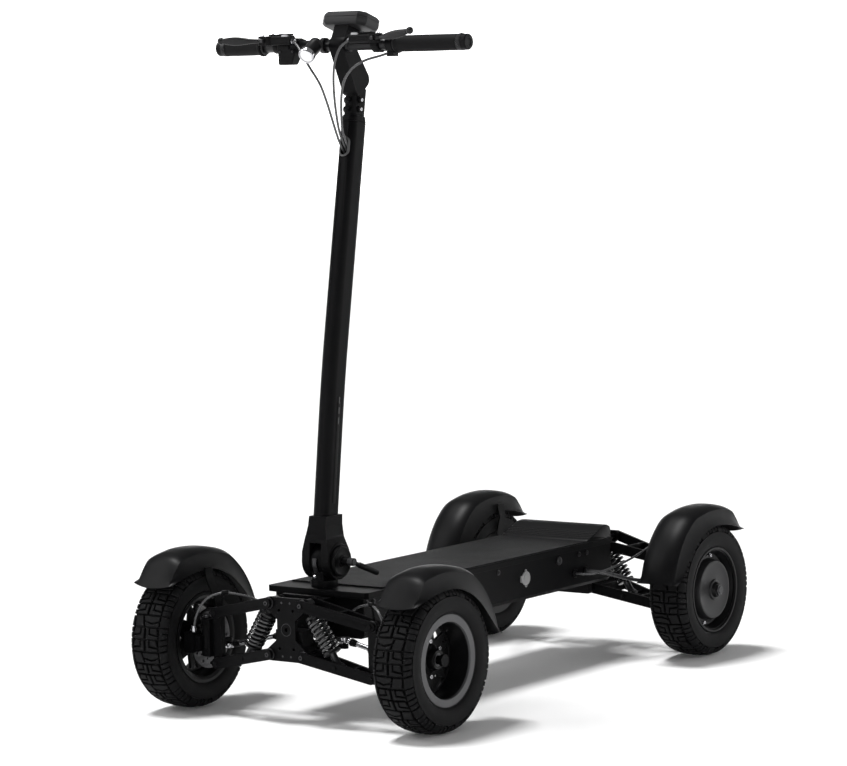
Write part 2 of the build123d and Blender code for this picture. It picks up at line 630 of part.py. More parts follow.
def steering_post():
    """Shaft, round foot, hinge tongue and, under the chassis, the short steering arm."""
    arm_low = LINK_BALL_Z - 8 + 0.7
    arm_high = CHASSIS_BOTTOM - 1.2
    pin_x = STEER_X - STEER_ARM_REACH
    foot_low = DECK_TOP + MAT_THICK
    foot_top = HINGE_Z - BARREL_R - 0.8
    shaft = rod_z(STEER_SHAFT_R, STEER_X, 0, arm_low, foot_low + 1)
    arm_plan = capsule((STEER_X, 0), (pin_x, 0), 9) + Pos(STEER_X, 0) * Circle(15)
    steer_arm = slab_z(arm_plan, arm_low, arm_high)
    pin = rod_z(SHOCK_PIN_R, pin_x, 0, LINK_BALL_Z - 15, arm_high - 1)
    foot = rod_z(POST_R, STEER_X, 0, foot_low, foot_top)
    tongue = rod_y(BARREL_R - 2, HINGE_X, HINGE_Z, -TONGUE_HALF_WIDTH, TONGUE_HALF_WIDTH)
    half = TONGUE_HALF_WIDTH
    neck = block(HINGE_X - 17, HINGE_X + 28, -half, half, foot_top - 1, HINGE_Z - 12)
    body = shaft + steer_arm + pin + foot + tongue + neck
    return body - rod_y(HINGE_PIN_R + RUN, HINGE_X, HINGE_Z, -40, 40)


# ------------------------------------------------------------------ column
def lean_direction(degrees):
    return (-math.sin(math.radians(degrees)), 0, math.cos(math.radians(degrees)))


def column_x(z):
    """x of the column's centre line at height z."""
    lean = LEAN_LOW if z < BEND_Z else LEAN_HIGH
    return BEND_X - (z - BEND_Z) * math.tan(math.radians(lean))


def swept_column(depth, width, corner, z0, z1):
    corners = [(column_x(z0), 0, z0), (BEND_X, 0, BEND_Z), (column_x(z1), 0, z1)]
    path = FilletPolyline(*corners, radius=BEND_RADIUS)
    low = math.radians(LEAN_LOW)
    start = Plane(origin=(column_x(z0), 0, z0), x_dir=(math.cos(low), 0, math.sin(low)),
                  z_dir=lean_direction(LEAN_LOW))
    return sweep(start * RectangleRounded(depth, width, corner), path=path)


def upper_plane(z):
    high = math.radians(LEAN_HIGH)
    return Plane(origin=(column_x(z), 0, z), x_dir=(math.cos(high), 0, math.sin(high)),
                 z_dir=lean_direction(LEAN_HIGH))


def column_tube():
    outer = swept_column(TUBE_DEPTH, TUBE_WIDTH, TUBE_CORNER, TUBE_BOTTOM_Z, TUBE_TOP_Z)
    wall = 2 * TUBE_WALL
    inner = swept_column(TUBE_DEPTH - wall, TUBE_WIDTH - wall, TUBE_CORNER - TUBE_WALL,
                         TUBE_BOTTOM_Z - 5, TUBE_TOP_Z + 5)
    tube = outer - inner
    port = upper_plane(PORT_Z) * Pos(TUBE_DEPTH / 2, 0, 0) * Rot(0, 90, 0)
    tube -= port * extrude(SlotOverall(PORT_HEIGHT, PORT_WIDTH), 12, both=True)
    return tube


def column_collar():
    """The tapered cap that closes the tube round the clamped stub."""
    collar = loft([upper_plane(TUBE_TOP_Z + SEAT) * RectangleRounded(TUBE_DEPTH, TUBE_WIDTH, TUBE_CORNER),
                   upper_plane(TUBE_TOP_Z + 12) * RectangleRounded(STUB_DEPTH + 4, STUB_WIDTH + 4, 11)])
    gap = 2 * SEAT
    outline = RectangleRounded(STUB_DEPTH + gap, STUB_WIDTH + gap, STUB_CORNER + SEAT)
    bore = upper_plane(TUBE_TOP_Z - 10) * outline
    return collar - extrude(bore, 40)


def column_yoke():
    """The flared casting that carries the tube and folds on the post's tongue."""
    top = HINGE_Z + 88
    neck_z = HINGE_Z + 65
    waist_z = HINGE_Z + 42
    socket = TUBE_DEPTH / 2 + 1.5
    cx = column_x(top)
    nx = column_x(neck_z)
    wx = column_x(waist_z)
    side = make_face(make_hull(
        (Pos(HINGE_X, HINGE_Z) * Circle(BARREL_R)).edges()
        + (Pos(wx, waist_z) * Circle(socket + 2.5)).edges()).edges())
    side += shape((wx - socket - 2.5, waist_z), (wx + socket + 2.5, waist_z), (nx + socket + 1.5, neck_z),
                  (cx + socket, top), (cx - socket, top), (nx - socket - 1.5, neck_z))
    half = BARREL_HALF_WIDTH
    wall = TUBE_WIDTH / 2 + 2.5
    low = HINGE_Z - 53
    front = shape((-half, low), (half, low), (half, HINGE_Z + 19), (wall + 4.5, HINGE_Z + 49),
                  (wall + 0.5, HINGE_Z + 69), (wall, top + 5), (-wall, top + 5), (-wall - 0.5, HINGE_Z + 69),
                  (-wall - 4.5, HINGE_Z + 49), (-half, HINGE_Z + 19))
    body = slab_y(side, -half, half) & slab_x(front, HINGE_X - 83, HINGE_X + 87)
    slot = TONGUE_HALF_WIDTH + 0.4
    body -= block(HINGE_X - 83, HINGE_X + 87, -slot, slot, low, HINGE_Z + BARREL_R + 1)
    body -= swept_column(TUBE_DEPTH + 2 * RUN, TUBE_WIDTH + 2 * RUN, TUBE_CORNER, TUBE_BOTTOM_Z - SEAT,
                         TUBE_TOP_Z)
    return body - rod_y(HINGE_PIN_R + RUN, HINGE_X, HINGE_Z, -40, 40)


def hinge_pin():
    shank = rod_y(HINGE_PIN_R, HINGE_X, HINGE_Z, -BARREL_HALF_WIDTH - SEAT, BARREL_HALF_WIDTH)
    head = rod_y(22, HINGE_X, HINGE_Z, -BARREL_HALF_WIDTH - SEAT - 5, -BARREL_HALF_WIDTH - SEAT)
    return shank + head


def fold_lever():
    """Clamp disc with its boss and the thin handle that points back and down."""
    start = BARREL_HALF_WIDTH + SEAT
    disc = rod_y(30, HINGE_X, HINGE_Z, start, start + 6)
    boss = rod_y(7.5, HINGE_X, HINGE_Z, start + 5, start + 36)
    handle = rod_between((HINGE_X, start + 29, HINGE_Z), (HINGE_X - 81, start + 29, HINGE_Z - 31), 4.5)
    return disc + boss + handle


# ------------------------------------------------------------------ handlebar
def under_display(x):
    """Height just below the tilted display's lower face."""
    tilt = math.radians(DISPLAY_TILT)
    return DISPLAY_Z - DISPLAY_THICK / 2 / math.cos(tilt) + (x - DISPLAY_X) * math.tan(tilt) - SEAT


def gooseneck():
    """Stub in the column, side cheeks up to the bar clamp, and the display's bracket."""
    stub = extrude(upper_plane(TUBE_TOP_Z - 26) * RectangleRounded(STUB_DEPTH, STUB_WIDTH, STUB_CORNER), 93)
    cheek = make_face(make_hull((Pos(BAR_X - 50, BAR_Z - 67) * Circle(16)).edges()
                                + (Pos(BAR_X, BAR_Z) * Circle(BAR_R + 7)).edges()
                                + (Pos(BAR_X - 33, STUB_TOP_Z - 2) * Circle(12)).edges()).edges())
    body = stub + slab_y(cheek, -17, 17)
    front = BAR_X - 4
    rear = BAR_X - 46
    bracket = shape((BAR_X - 30, BAR_Z + 6), (BAR_X + 10, BAR_Z + 14), (front, under_display(front)),
                    (rear, under_display(rear)), (BAR_X - 40, BAR_Z + 14))
    body += slab_y(bracket, -17, 17)
    body -= rod_y(BAR_R + 2 + RUN, BAR_X, BAR_Z, -40, 40)
    bolts = []
    for z in (STUB_TOP_Z - 42, STUB_TOP_Z - 24):
        at = upper_plane(z)
        for sign in (-1, 1):
            head = at * Pos(6, sign * (STUB_WIDTH / 2 + SEAT + 2.5), 0) * Rot(90, 0, 0) * Cylinder(6.5, 5)
            bolts.append(head)
        bolts.append(at * Pos(STUB_DEPTH / 2 + SEAT + 3, 0, 0) * Rot(0, 90, 0) * Cylinder(5, 6))
    return [body, *bolts]


def handlebar():
    tube = rod_y(BAR_R, BAR_X, BAR_Z, -BAR_HALF_LENGTH + 6, BAR_HALF_LENGTH - 6)
    tube += rod_y(BAR_R + 2, BAR_X, BAR_Z, -24, 24)
    return tube - rod_y(BAR_R - 2.5, BAR_X, BAR_Z, -BAR_HALF_LENGTH, BAR_HALF_LENGTH)


def grips():
    pieces = []
    for sign, start in ((1, LEFT_GRIP_START), (-1, RIGHT_GRIP_START)):
        low, high = sorted((sign * start, sign * GRIP_END))
        sleeve = rod_y(GRIP_R, BAR_X, BAR_Z, low, high)
        sleeve -= rod_y(BAR_R + SEAT, BAR_X, BAR_Z, low - 1, high + 1)
        low, high = sorted((sign * (GRIP_END + SEAT), sign * BAR_HALF_LENGTH))
        cap = rod_y(GRIP_R, BAR_X, BAR_Z, low, high)
        inner_low, inner_high = sorted((sign * GRIP_END, sign * (BAR_HALF_LENGTH - 6 + SEAT)))
        cap -= rod_y(BAR_R + SEAT, BAR_X, BAR_Z, inner_low, inner_high)
        pieces += [sleeve, cap]
    return pieces


def display():
    case = Box(DISPLAY_DEPTH, DISPLAY_WIDTH, DISPLAY_THICK)
    case = chamfer(case.edges().filter_by(Axis.Z), 14)
    case = chamfer(case.edges().group_by(Axis.Z)[-1], 6)
    return Pos(DISPLAY_X, 0, DISPLAY_Z) * Rot(0, -DISPLAY_TILT, 0) * case


def headlight():
    back = Vector(*HEADLIGHT_BACK)
    front = Vector(*HEADLIGHT_LENS)
    way = (front - back).normalized()
    shell = rod_between(back, front - way * 10, 14.5)
    shell += rod_between(front - way * 12, front, 16.5)
    shell -= rod_between(front - way * 4, front + way, 13.5)
    shell += rod_y(5, BAR_X + 19, BAR_Z + 3, -44, -36)
    lens = rod_between(front - way * (4 - SEAT), front - way * 0.5, 13.2)
    band = rod_y(BAR_R + 4, BAR_X, BAR_Z, -45, -35) - rod_y(BAR_R + RUN, BAR_X, BAR_Z, -50, -30)
    return [shell + band, lens]


def lever_body(pivot_y, band_y):
    """Brake master on the bar: band, cylinder, reservoir cap and the fork that holds the lever."""
    band = rod_y(BAR_R + 5, BAR_X, BAR_Z, band_y - 8, band_y + 8)
    master = block(BAR_X + BAR_R + 3, LEVER_X + 4, pivot_y - 70, pivot_y - 12, LEVER_Z - 9, LEVER_Z + 9)
    master = fillet(master.edges().filter_by(Axis.Y), 5)
    bridge = block(BAR_X + 4, BAR_X + BAR_R + 7, band_y - 7, band_y + 7, BAR_Z - 4, LEVER_Z + 4)
    fork = slab_z(capsule((LEVER_X, pivot_y), (LEVER_X, pivot_y - 16), 8), LEVER_Z - 9, LEVER_Z + 9)
    pocket = block(LEVER_X - 9.5, LEVER_X + 9.5, pivot_y - 10.5, pivot_y + 12, LEVER_Z - 4.4, LEVER_Z + 4.4)
    body = band + master + bridge + fork - pocket
    body -= rod_y(BAR_R + RUN, BAR_X, BAR_Z, band_y - 20, band_y + 20)
    body -= rod_z(3 + RUN, LEVER_X, pivot_y, LEVER_Z - 20, LEVER_Z + 20)
    pin = rod_z(3, LEVER_X, pivot_y, LEVER_Z - 10, LEVER_Z + 10)
    cap = block(BAR_X + BAR_R + 5, LEVER_X + 2, pivot_y - 68, pivot_y - 44, LEVER_Z + 9 + SEAT, LEVER_Z + 13)
    return [body, pin, cap]


def brake_lever(pivot_y):
    blade = capsule((LEVER_X, pivot_y), (LEVER_X + 14, pivot_y + 26), 6)
    blade += capsule((LEVER_X + 14, pivot_y + 26), (LEVER_X + 20, pivot_y + LEVER_REACH - 10), 5.5)
    blade += Pos(LEVER_X + 20, pivot_y + LEVER_REACH - 8) * Circle(8)
    lever = slab_z(blade, LEVER_Z - 4, LEVER_Z + 4)
    return lever - rod_z(3 + RUN, LEVER_X, pivot_y, LEVER_Z - 20, LEVER_Z + 20)


def throttle_pod():
    low = THROTTLE_Y - 13
    high = THROTTLE_Y + 13
    band = rod_y(BAR_R + CLAMP_WALL, BAR_X, BAR_Z, low, high)
    box = block(BAR_X - 9, BAR_X + 16, low, high, BAR_Z - 36, BAR_Z - 8)
    box = fillet(box.edges().filter_by(Axis.Y), 5)
    return band + box - rod_y(BAR_R + RUN, BAR_X, BAR_Z, low - 1, high + 1)


def throttle_paddle():
    ring = rod_y(BAR_R + CLAMP_WALL, BAR_X, BAR_Z, PADDLE_Y - 8, PADDLE_Y + 8)
    tab = slab_y(capsule((BAR_X - 8, BAR_Z - 10), (BAR_X - 17, BAR_Z - 29), 4), PADDLE_Y - 8, PADDLE_Y + 8)
    return ring + tab - rod_y(BAR_R + RUN, BAR_X, BAR_Z, PADDLE_Y - 20, PADDLE_Y + 20)


def switch_pod():
    low = LEFT_GRIP_START - 20
    band = rod_y(BAR_R + 4, BAR_X, BAR_Z, low, low + 16)
    box = block(BAR_X - 8, BAR_X + 8, low, low + 16, BAR_Z - 24, BAR_Z - 8)
    return band + box - rod_y(BAR_R + RUN, BAR_X, BAR_Z, low - 1, low + 17)


def tube_along(points, radius):
    """A cable: straight runs joined by arcs as large as the runs allow."""
    corners = [Vector(*p) for p in points]
    radii = []
    for a, b, c in zip(corners, corners[1:], corners[2:]):
        turn = math.radians((b - a).get_angle(c - b))
        radii.append(0.45 * min((b - a).length, (c - b).length) / math.tan(turn / 2))
    path = FilletPolyline(*points, radius=radii)
    start = Plane(origin=points[0], z_dir=corners[1] - corners[0])
    return sweep(start * Circle(radius), path=path)


CABLE_R = 2.4
LEAD_R = 4
CABLE_ROUTES = [
    [(366, 40.6, 1310), (370, 30, 1306), (379, 19, 1291), (383, 10, 1260), (379, 5.5, 1213), (367, 2, 1162),
     (353, 0, 1120), (329, 0, 1090)],
    [(366, -100.6, 1310), (371, -87, 1304), (383, -67, 1286), (390, -43, 1258), (388, -19, 1226),
     (379, -9, 1185), (363, -6, 1140), (348, -5.4, 1108), (326, -5.4, 1080)],
    [(346, 113.8, 1282), (352, 98, 1277), (362, 73, 1271), (368, 48, 1259), (369, 26, 1238), (366, 14, 1206),
     (361, 9.2, 1168), (354, 5.6, 1124), (331, 5.4, 1096)],
]


def controls():
    left = lever_body(LEFT_LEVER_Y, LEFT_BAND_Y)
    right = mirrored(lever_body(RIGHT_LEVER_Y, RIGHT_BAND_Y), Plane.XZ)
    keep("bar_controls", *left, *right, throttle_pod(), switch_pod())
    keep("left_brake_lever", brake_lever(LEFT_LEVER_Y))
    keep("right_brake_lever", *mirrored([brake_lever(RIGHT_LEVER_Y)], Plane.XZ))
    keep("throttle_paddle", throttle_paddle())
    keep("control_cables", *[tube_along(route, CABLE_R) for route in CABLE_ROUTES])


def wheel_cables():
    """Rear motor leads and front brake hoses, held at the chassis and at the wheel carriers."""
    side = CHASSIS_HALF_WIDTH + GROMMET_THICK + 4 * SEAT
    lead = [(-323, side, 190), (-324.5, 124, 189.6), (-343, 138, 186), (-370, 152, 177), (-402, 166, 166),
            (-438, 179, 158), (-472, 188, 153)]
    thin_lead = [(-281, side, 190), (-282, 122, 189.6), (-297, 138, 188), (-330, 148, 191),
                 (-366, 160, 199), (-402, 172, 210), (-436, 184, 224), (-462, 191, 236),
                 (-476, 189.5, 236), (-479, 188.8, 224), (-479, 188.5, 213)]
    hose = [(CHASSIS_FRONT + 3 * SEAT, 80, 205), (471, 81.5, 206), (487, 98, 214), (502, 122, 226),
            (515, 150, 236), (528, 178, 240), (541, 200, 236), (550, 216, 222), (553, 228, 203),
            (553, 237, 183),
            (553, 240, TYRE_R + 20 + SEAT)]
    pieces = [tube_along(lead, LEAD_R), tube_along(thin_lead, CABLE_R), tube_along(hose, CABLE_R)]
    return pieces + mirrored(pieces, Plane.XZ)


# ------------------------------------------------------------------ assembly
def corner_pieces(end_name):
    """Every node of one left-hand corner, drawn at the front; the caller mirrors them."""
    front = end_name == "front"
    end = FRONT if front else REAR
    shock = Shock(end)
    pieces = {
        "upper_arm": [arm(end, UPPER_PIVOT_Z, (120,))],
        "lower_arm": lower_arm(end),
        "upright": front_upright() if front else rear_upright(),
        "shock_body": [shock.body()],
        "shock_rod": [shock.piston()],
        "tyre": [tyre(FRONT_TRACK if front else REAR_TRACK)],
    }
    if front:
        y = FRONT_TRACK / 2
        pieces["knuckle"] = [knuckle(), caliper(), axle_nut(y + AXLE_END + SEAT)]
        pieces["rim"] = [rim_front(), *bearings(), *brake_disc()]
        pieces["fender"] = fender(FRONT_TRACK, KINGPIN_Y - 1.8, TYRE_R + 20)
        pieces["tie_rod"] = [tie_rod()]
    else:
        inner_face = REAR_TRACK / 2 - RIM_WIDTH / 2 - 11
        pieces["hub_motor"] = [hub_motor()]
        pieces["fender"] = fender(REAR_TRACK, inner_face + 3 + SEAT, TYRE_R + 38)
    return pieces, [shock.spring()]


def corners():
    springs = []
    for end_name in ("front", "rear"):
        pieces, spring = corner_pieces(end_name)
        pieces["spring"] = spring
        for side in ("left", "right"):
            for name, solids in pieces.items():
                placed = solids
                if end_name == "rear":
                    placed = mirrored(placed, Plane.YZ)
                if side == "right":
                    placed = mirrored(placed, Plane.XZ)
                if name == "spring":
                    springs += placed
                else:
                    keep(f"{end_name}_{side}_{name}", *placed)
    keep("coil_springs", *springs)


def towers():
    front = tower(FRONT, CHASSIS_FRONT, PIVOT_Y - PIN_R, LOWER_PIVOT_Z + 44, UPPER_PIVOT_Z + 2, True)
    rear = tower(REAR, -CHASSIS_REAR, 50, LOWER_PIVOT_Z + 12, UPPER_PIVOT_Z - 8, False)
    keep("suspension_towers", *front, *mirrored(rear, Plane.YZ))


def main():
    chassis()
    towers()
    corners()
    keep("wheel_cables", *wheel_cables())
    keep("steering_link", steering_link())
    keep("steering_post", steering_post())
    keep("column_yoke", column_yoke(), hinge_pin())
    keep("column_tube", column_tube(), column_collar())
    keep("fold_lever", fold_lever())
    keep("gooseneck", *gooseneck())
    keep("handlebar", handlebar())
    keep("grips", *grips())
    keep("display", display())
    keep("headlight", *headlight())
    controls()
    os.makedirs("parts", exist_ok=True)
    for name, solids in nodes.items():
        piece = solids[0] if len(solids) == 1 else Compound(children=solids)
        export_step(piece, f"parts/{name}.step")
    print(len(nodes), "nodes")


main()
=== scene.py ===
import json
import math
import bmesh
import bpy
from mathutils import Matrix, Vector


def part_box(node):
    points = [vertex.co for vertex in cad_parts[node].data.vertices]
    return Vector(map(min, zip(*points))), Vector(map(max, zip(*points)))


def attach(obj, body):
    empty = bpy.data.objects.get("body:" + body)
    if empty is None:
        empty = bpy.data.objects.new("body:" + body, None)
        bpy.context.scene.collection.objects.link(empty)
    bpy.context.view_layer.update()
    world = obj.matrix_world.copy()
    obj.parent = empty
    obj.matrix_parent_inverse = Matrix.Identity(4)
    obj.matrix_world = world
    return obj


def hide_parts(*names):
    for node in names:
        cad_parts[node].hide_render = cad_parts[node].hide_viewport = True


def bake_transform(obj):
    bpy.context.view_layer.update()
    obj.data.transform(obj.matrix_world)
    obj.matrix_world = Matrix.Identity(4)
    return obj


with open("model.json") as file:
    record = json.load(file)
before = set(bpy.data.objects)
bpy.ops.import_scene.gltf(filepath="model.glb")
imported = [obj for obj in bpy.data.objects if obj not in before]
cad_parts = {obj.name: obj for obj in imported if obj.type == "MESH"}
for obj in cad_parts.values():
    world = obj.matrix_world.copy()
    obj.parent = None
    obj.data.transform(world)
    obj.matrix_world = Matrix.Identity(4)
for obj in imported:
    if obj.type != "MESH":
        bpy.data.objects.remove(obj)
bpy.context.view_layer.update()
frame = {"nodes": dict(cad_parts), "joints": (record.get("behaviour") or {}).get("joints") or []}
NODES = frame["nodes"]
MM = 0.001
FRONT_LEFT = "front_left_"
CORNERS = [("front", "left", 1, 1), ("front", "right", 1, -1), ("rear", "left", -1, 1),
           ("rear", "right", -1, -1)]

SIDES = [("left", 1), ("right", -1)]


def middle(node):
    low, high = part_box(node)
    return (low + high) / 2 / MM


AXLE_X = middle("front_left_tyre").x
WHEEL_Z = middle("front_left_tyre").z
TYRE_R = WHEEL_Z
HALF_TRACK = {"front": middle("front_left_tyre").y, "rear": middle("rear_left_tyre").y}
JOINTS = {j["name"]: j for j in frame["joints"]}


def pivot(joint):
    return Vector(JOINTS[joint]["pos_m"]) / MM


# ------------------------------------------------------------------ finishes
def add_node(tree, kind, **inputs):
    """A new shader node with its named inputs set; an underscore in a name stands for a space."""
    made = tree.nodes.new("ShaderNode" + kind)
    for label, value in inputs.items():
        made.inputs[label.replace("_", " ")].default_value = value
    return made


def finish(name, colour, rough, metal=0.0, vary=0.25, patch=14.0, grain=900.0, bump=0.15, rough_vary=0.08,
           specular=0.5, coat=0.0, layers=None):
    """A shader whose colour and roughness wander in soft patches, with a fine grain in its surface."""
    made = bpy.data.materials.new(name)
    made.use_nodes = True
    tree = made.node_tree
    link = tree.links.new
    shader = tree.nodes["Principled BSDF"]
    shader.inputs["Metallic"].default_value = metal
    shader.inputs["Specular IOR Level"].default_value = specular
    shader.inputs["Coat Weight"].default_value = coat
    place = add_node(tree, "TexCoord")
    cloud = add_node(tree, "TexNoise", Scale=patch, Detail=6)
    link(place.outputs["Object"], cloud.inputs["Vector"])
    tint = add_node(tree, "MixRGB", Color1=(*[c * (1 - vary) for c in colour], 1),
                    Color2=(*[c * (1 + vary) for c in colour], 1))
    link(cloud.outputs["Fac"], tint.inputs["Fac"])
    link(tint.outputs["Color"], shader.inputs["Base Color"])
    spread = add_node(tree, "MapRange", To_Min=rough - rough_vary, To_Max=rough + rough_vary)
    link(cloud.outputs["Fac"], spread.inputs["Value"])
    link(spread.outputs["Result"], shader.inputs["Roughness"])
    speck = add_node(tree, "TexNoise", Scale=grain, Detail=3)
    link(place.outputs["Object"], speck.inputs["Vector"])
    relief = add_node(tree, "Bump", Strength=bump, Distance=0.0004)
    height = speck.outputs["Fac"]
    if layers:
        height = layers(tree, place, height)
    link(height, relief.inputs["Height"])
    link(relief.outputs["Normal"], shader.inputs["Normal"])
    return made


def hatch(tree, place, height):
    """Fine crossed diagonal ribs, as on a moulded grip sheet."""
    for angle in (35, -35):
        turn = add_node(tree, "Mapping", Rotation=(0, 0, math.radians(angle)))
        wave = add_node(tree, "TexWave", Scale=85)
        tree.links.new(place.outputs["Object"], turn.inputs["Vector"])
        tree.links.new(turn.outputs["Vector"], wave.inputs["Vector"])
        add = tree.nodes.new("ShaderNodeMath")
        add.operation = "MULTIPLY_ADD"
        add.inputs[1].default_value = 1.2
        tree.links.new(wave.outputs["Fac"], add.inputs[0])
        tree.links.new(height, add.inputs[2])
        height = add.outputs[0]
    return height


POWDER = finish("powder_coat", (0.0026, 0.0026, 0.003), 0.46, bump=0.22, specular=0.06)
SATIN = finish("moulded_satin", (0.0028, 0.0028, 0.0032), 0.4, bump=0.06, grain=1500, patch=9, specular=0.09)
RUBBER = finish("tyre_rubber", (0.0058, 0.0058, 0.0062), 0.66, bump=0.3, grain=700, vary=0.35, specular=0.1)
GRIP_SHEET = finish("grip_sheet", (0.0042, 0.0042, 0.0047), 0.55, bump=0.9, layers=hatch, specular=0.1)
SOFT_GRIP = finish("grip_rubber", (0.006, 0.006, 0.0064), 0.62, bump=0.35, grain=500, specular=0.1)
RIM_GREY = finish("rim_grey", (0.07, 0.07, 0.073), 0.42, metal=0.3, bump=0.08, specular=0.3)
RIM_BLACK = finish("rim_black", (0.0042, 0.0042, 0.0046), 0.36, bump=0.12, specular=0.16)
ANODISED = finish("anodised_black", (0.008, 0.008, 0.0087), 0.3, metal=0.2, bump=0.06, grain=1800,
                  specular=0.3)
CASE = finish("display_case", (0.018, 0.018, 0.019), 0.42, bump=0.06, grain=1500, specular=0.25)
GLASS = finish("display_glass", (0.004, 0.004, 0.005), 0.12, vary=0.1, bump=0.01, specular=0.4, coat=0.3)
SPRING = finish("spring_paint", (0.008, 0.008, 0.009), 0.16, bump=0.03, specular=0.5, coat=0.5)
STEEL = finish("bright_steel", (0.5, 0.5, 0.52), 0.24, metal=1.0, vary=0.1, bump=0.06, grain=2400)
DARK_STEEL = finish("dark_steel", (0.035, 0.035, 0.037), 0.34, metal=0.7, bump=0.1, specular=0.4)
DISC_STEEL = finish("disc_steel", (0.06, 0.06, 0.062), 0.3, metal=1.0, vary=0.15, bump=0.12, grain=1600)
CHROME = finish("chrome", (0.62, 0.62, 0.64), 0.1, metal=1.0, vary=0.05, bump=0.02)
CAST = finish("cast_silver", (0.34, 0.34, 0.35), 0.4, metal=0.6, vary=0.1, bump=0.2)
JACKET = finish("cable_jacket", (0.05, 0.05, 0.052), 0.26, bump=0.05, grain=1200, specular=0.6)
LENS = finish("lamp_lens", (0.95, 0.95, 0.96), 0.12, vary=0.02, bump=0.05, grain=300, coat=0.3)
CAP_GREY = finish("cap_grey", (0.22, 0.22, 0.22), 0.5, vary=0.08, bump=0.1)
MARK_GREY = finish("mark_grey", (0.045, 0.045, 0.046), 0.4, vary=0.1, bump=0.1)
MOTOR_GREY = finish("motor_grey", (0.013, 0.013, 0.0138), 0.4, metal=0.2, bump=0.08, specular=0.2)
CELLS = finish("cell_wrap", (0.05, 0.09, 0.2), 0.4, vary=0.2, bump=0.15, grain=300)


# ------------------------------------------------------------------ mesh building
def smooth(mesh, angle=34):
    mesh.polygons.foreach_set("use_smooth", [True] * len(mesh.polygons))
    mesh.set_sharp_from_angle(angle=math.radians(angle))
    return mesh


def to_mesh(build, angle=34, weld=0.00001):
    """Runs build(bm) in millimetres and returns the finished mesh in metres."""
    bm = bmesh.new()
    build(bm)
    bmesh.ops.remove_doubles(bm, verts=bm.verts, dist=weld / MM)
    bmesh.ops.recalc_face_normals(bm, faces=bm.faces)
    bmesh.ops.scale(bm, vec=(MM, MM, MM), verts=bm.verts)
    mesh = bpy.data.meshes.new("made")
    bm.to_mesh(mesh)
    bm.free()
    return smooth(mesh, angle)


def piece(name, mesh, body, slot, look, *stands_for):
    thing = bpy.data.objects.new(name, mesh)
    bpy.context.scene.collection.objects.link(thing)
    mesh.materials.clear()
    mesh.materials.append(look)
    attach(thing, body)
    if stands_for:
        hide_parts(*stands_for)
    return thing


def moved(mesh, matrix):
    """A copy of the mesh under the matrix, with its faces kept outwards."""
    copy = mesh.copy()
    copy.transform(matrix)
    if matrix.determinant() < 0:
        copy.flip_normals()
    return copy


def at(x, y, z):
    return Matrix.Translation(Vector((x, y, z)) * MM)


def corner_flip(x_sign, y_sign):
    return Matrix.Diagonal((x_sign, y_sign, 1, 1))


def wheel_spot(end, x_sign, y_sign):
    """The place of a wheel's middle, with the mesh turned to face outwards at its corner."""
    return corner_flip(x_sign, y_sign) @ at(AXLE_X, HALF_TRACK[end], WHEEL_Z)


def joined(*meshes):
    bm = bmesh.new()
    for mesh in meshes:
        bm.from_mesh(mesh)
    out = bpy.data.meshes.new("joined")
    bm.to_mesh(out)
    bm.free()
    return smooth(out)


def skin(bm, rings, close_ring=True, close_ends=False):
    """Quads between rings of points."""
    rows = [[bm.verts.new(p) for p in ring] for ring in rings]
    count = len(rows[0])
    last = count if close_ring else count - 1
    for a, b in zip(rows, rows[1:]):
        for i in range(last):
            j = (i + 1) % count
            bm.faces.new((a[i], a[j], b[j], b[i]))
    if close_ends:
        bm.faces.new(rows[0])
        bm.faces.new(rows[-1])


def lathe(profile, steps=96, closed=True, angle=34):
    """(offset along Y, radius) points turned about the Y axis."""
    def build(bm):
        rings = []
        for i in range(steps + 1):
            turn = 2 * math.pi * i / steps
            rings.append([(max(r, 0.01) * math.cos(turn), a, max(r, 0.01) * math.sin(turn)) for a,
                          r in profile])
        skin(bm, rings, close_ring=closed)
    return to_mesh(build, angle, weld=0.00002)


def arc(centre, radius, start, stop, steps):
    """Points of an arc in the plane, angles in degrees."""
    out = []
    for i in range(steps + 1):
        turn = math.radians(start + (stop - start) * i / steps)
        out.append((centre[0] + radius * math.cos(turn), centre[1] + radius * math.sin(turn)))
    return out


def ring(radius, steps=48, centre=(0, 0)):
    return arc(centre, radius, 0, 360 * (steps - 1) / steps, steps - 1)


def plate(outlines, thick, edge=0.6, angle=40):
    """A flat piece in the XY plane with rounded edges: the first outline is its rim, the others its holes."""
    curve = bpy.data.curves.new("plate", "CURVE")
    curve.dimensions = "2D"
    curve.fill_mode = "BOTH"
    curve.extrude = (thick / 2 - edge) * MM
    curve.bevel_depth = edge * MM
    curve.bevel_resolution = 1
    curve.offset = -edge * MM
    for outline in outlines:
        spline = curve.splines.new("POLY")
        spline.points.add(len(outline) - 1)
        for point, (x, y) in zip(spline.points, outline):
            point.co = (x * MM, y * MM, 0, 1)
        spline.use_cyclic_u = True
    holder = bpy.data.objects.new("plate", curve)
    mesh = bpy.data.meshes.new_from_object(holder)
    bpy.data.curves.remove(curve)
    bm = bmesh.new()
    bm.from_mesh(mesh)
    bmesh.ops.remove_doubles(bm, verts=bm.verts, dist=0.00001)
    bmesh.ops.recalc_face_normals(bm, faces=bm.faces)
    bm.to_mesh(mesh)
    bm.free()
    return smooth(mesh, angle)


ALONG_X = Matrix(((0, 0, 1, 0), (1, 0, 0, 0), (0, 1, 0, 0), (0, 0, 0, 1)))
ALONG_Y = Matrix(((1, 0, 0, 0), (0, 0, -1, 0), (0, 1, 0, 0), (0, 0, 0, 1)))


def rounded_box(size, edge, steps=3):
    def build(bm):
        bmesh.ops.create_cube(bm, size=1)
        bmesh.ops.scale(bm, vec=size, verts=bm.verts)
        bmesh.ops.bevel(bm, geom=bm.edges, offset=edge, segments=steps, profile=0.5, affect="EDGES")
    return to_mesh(build)


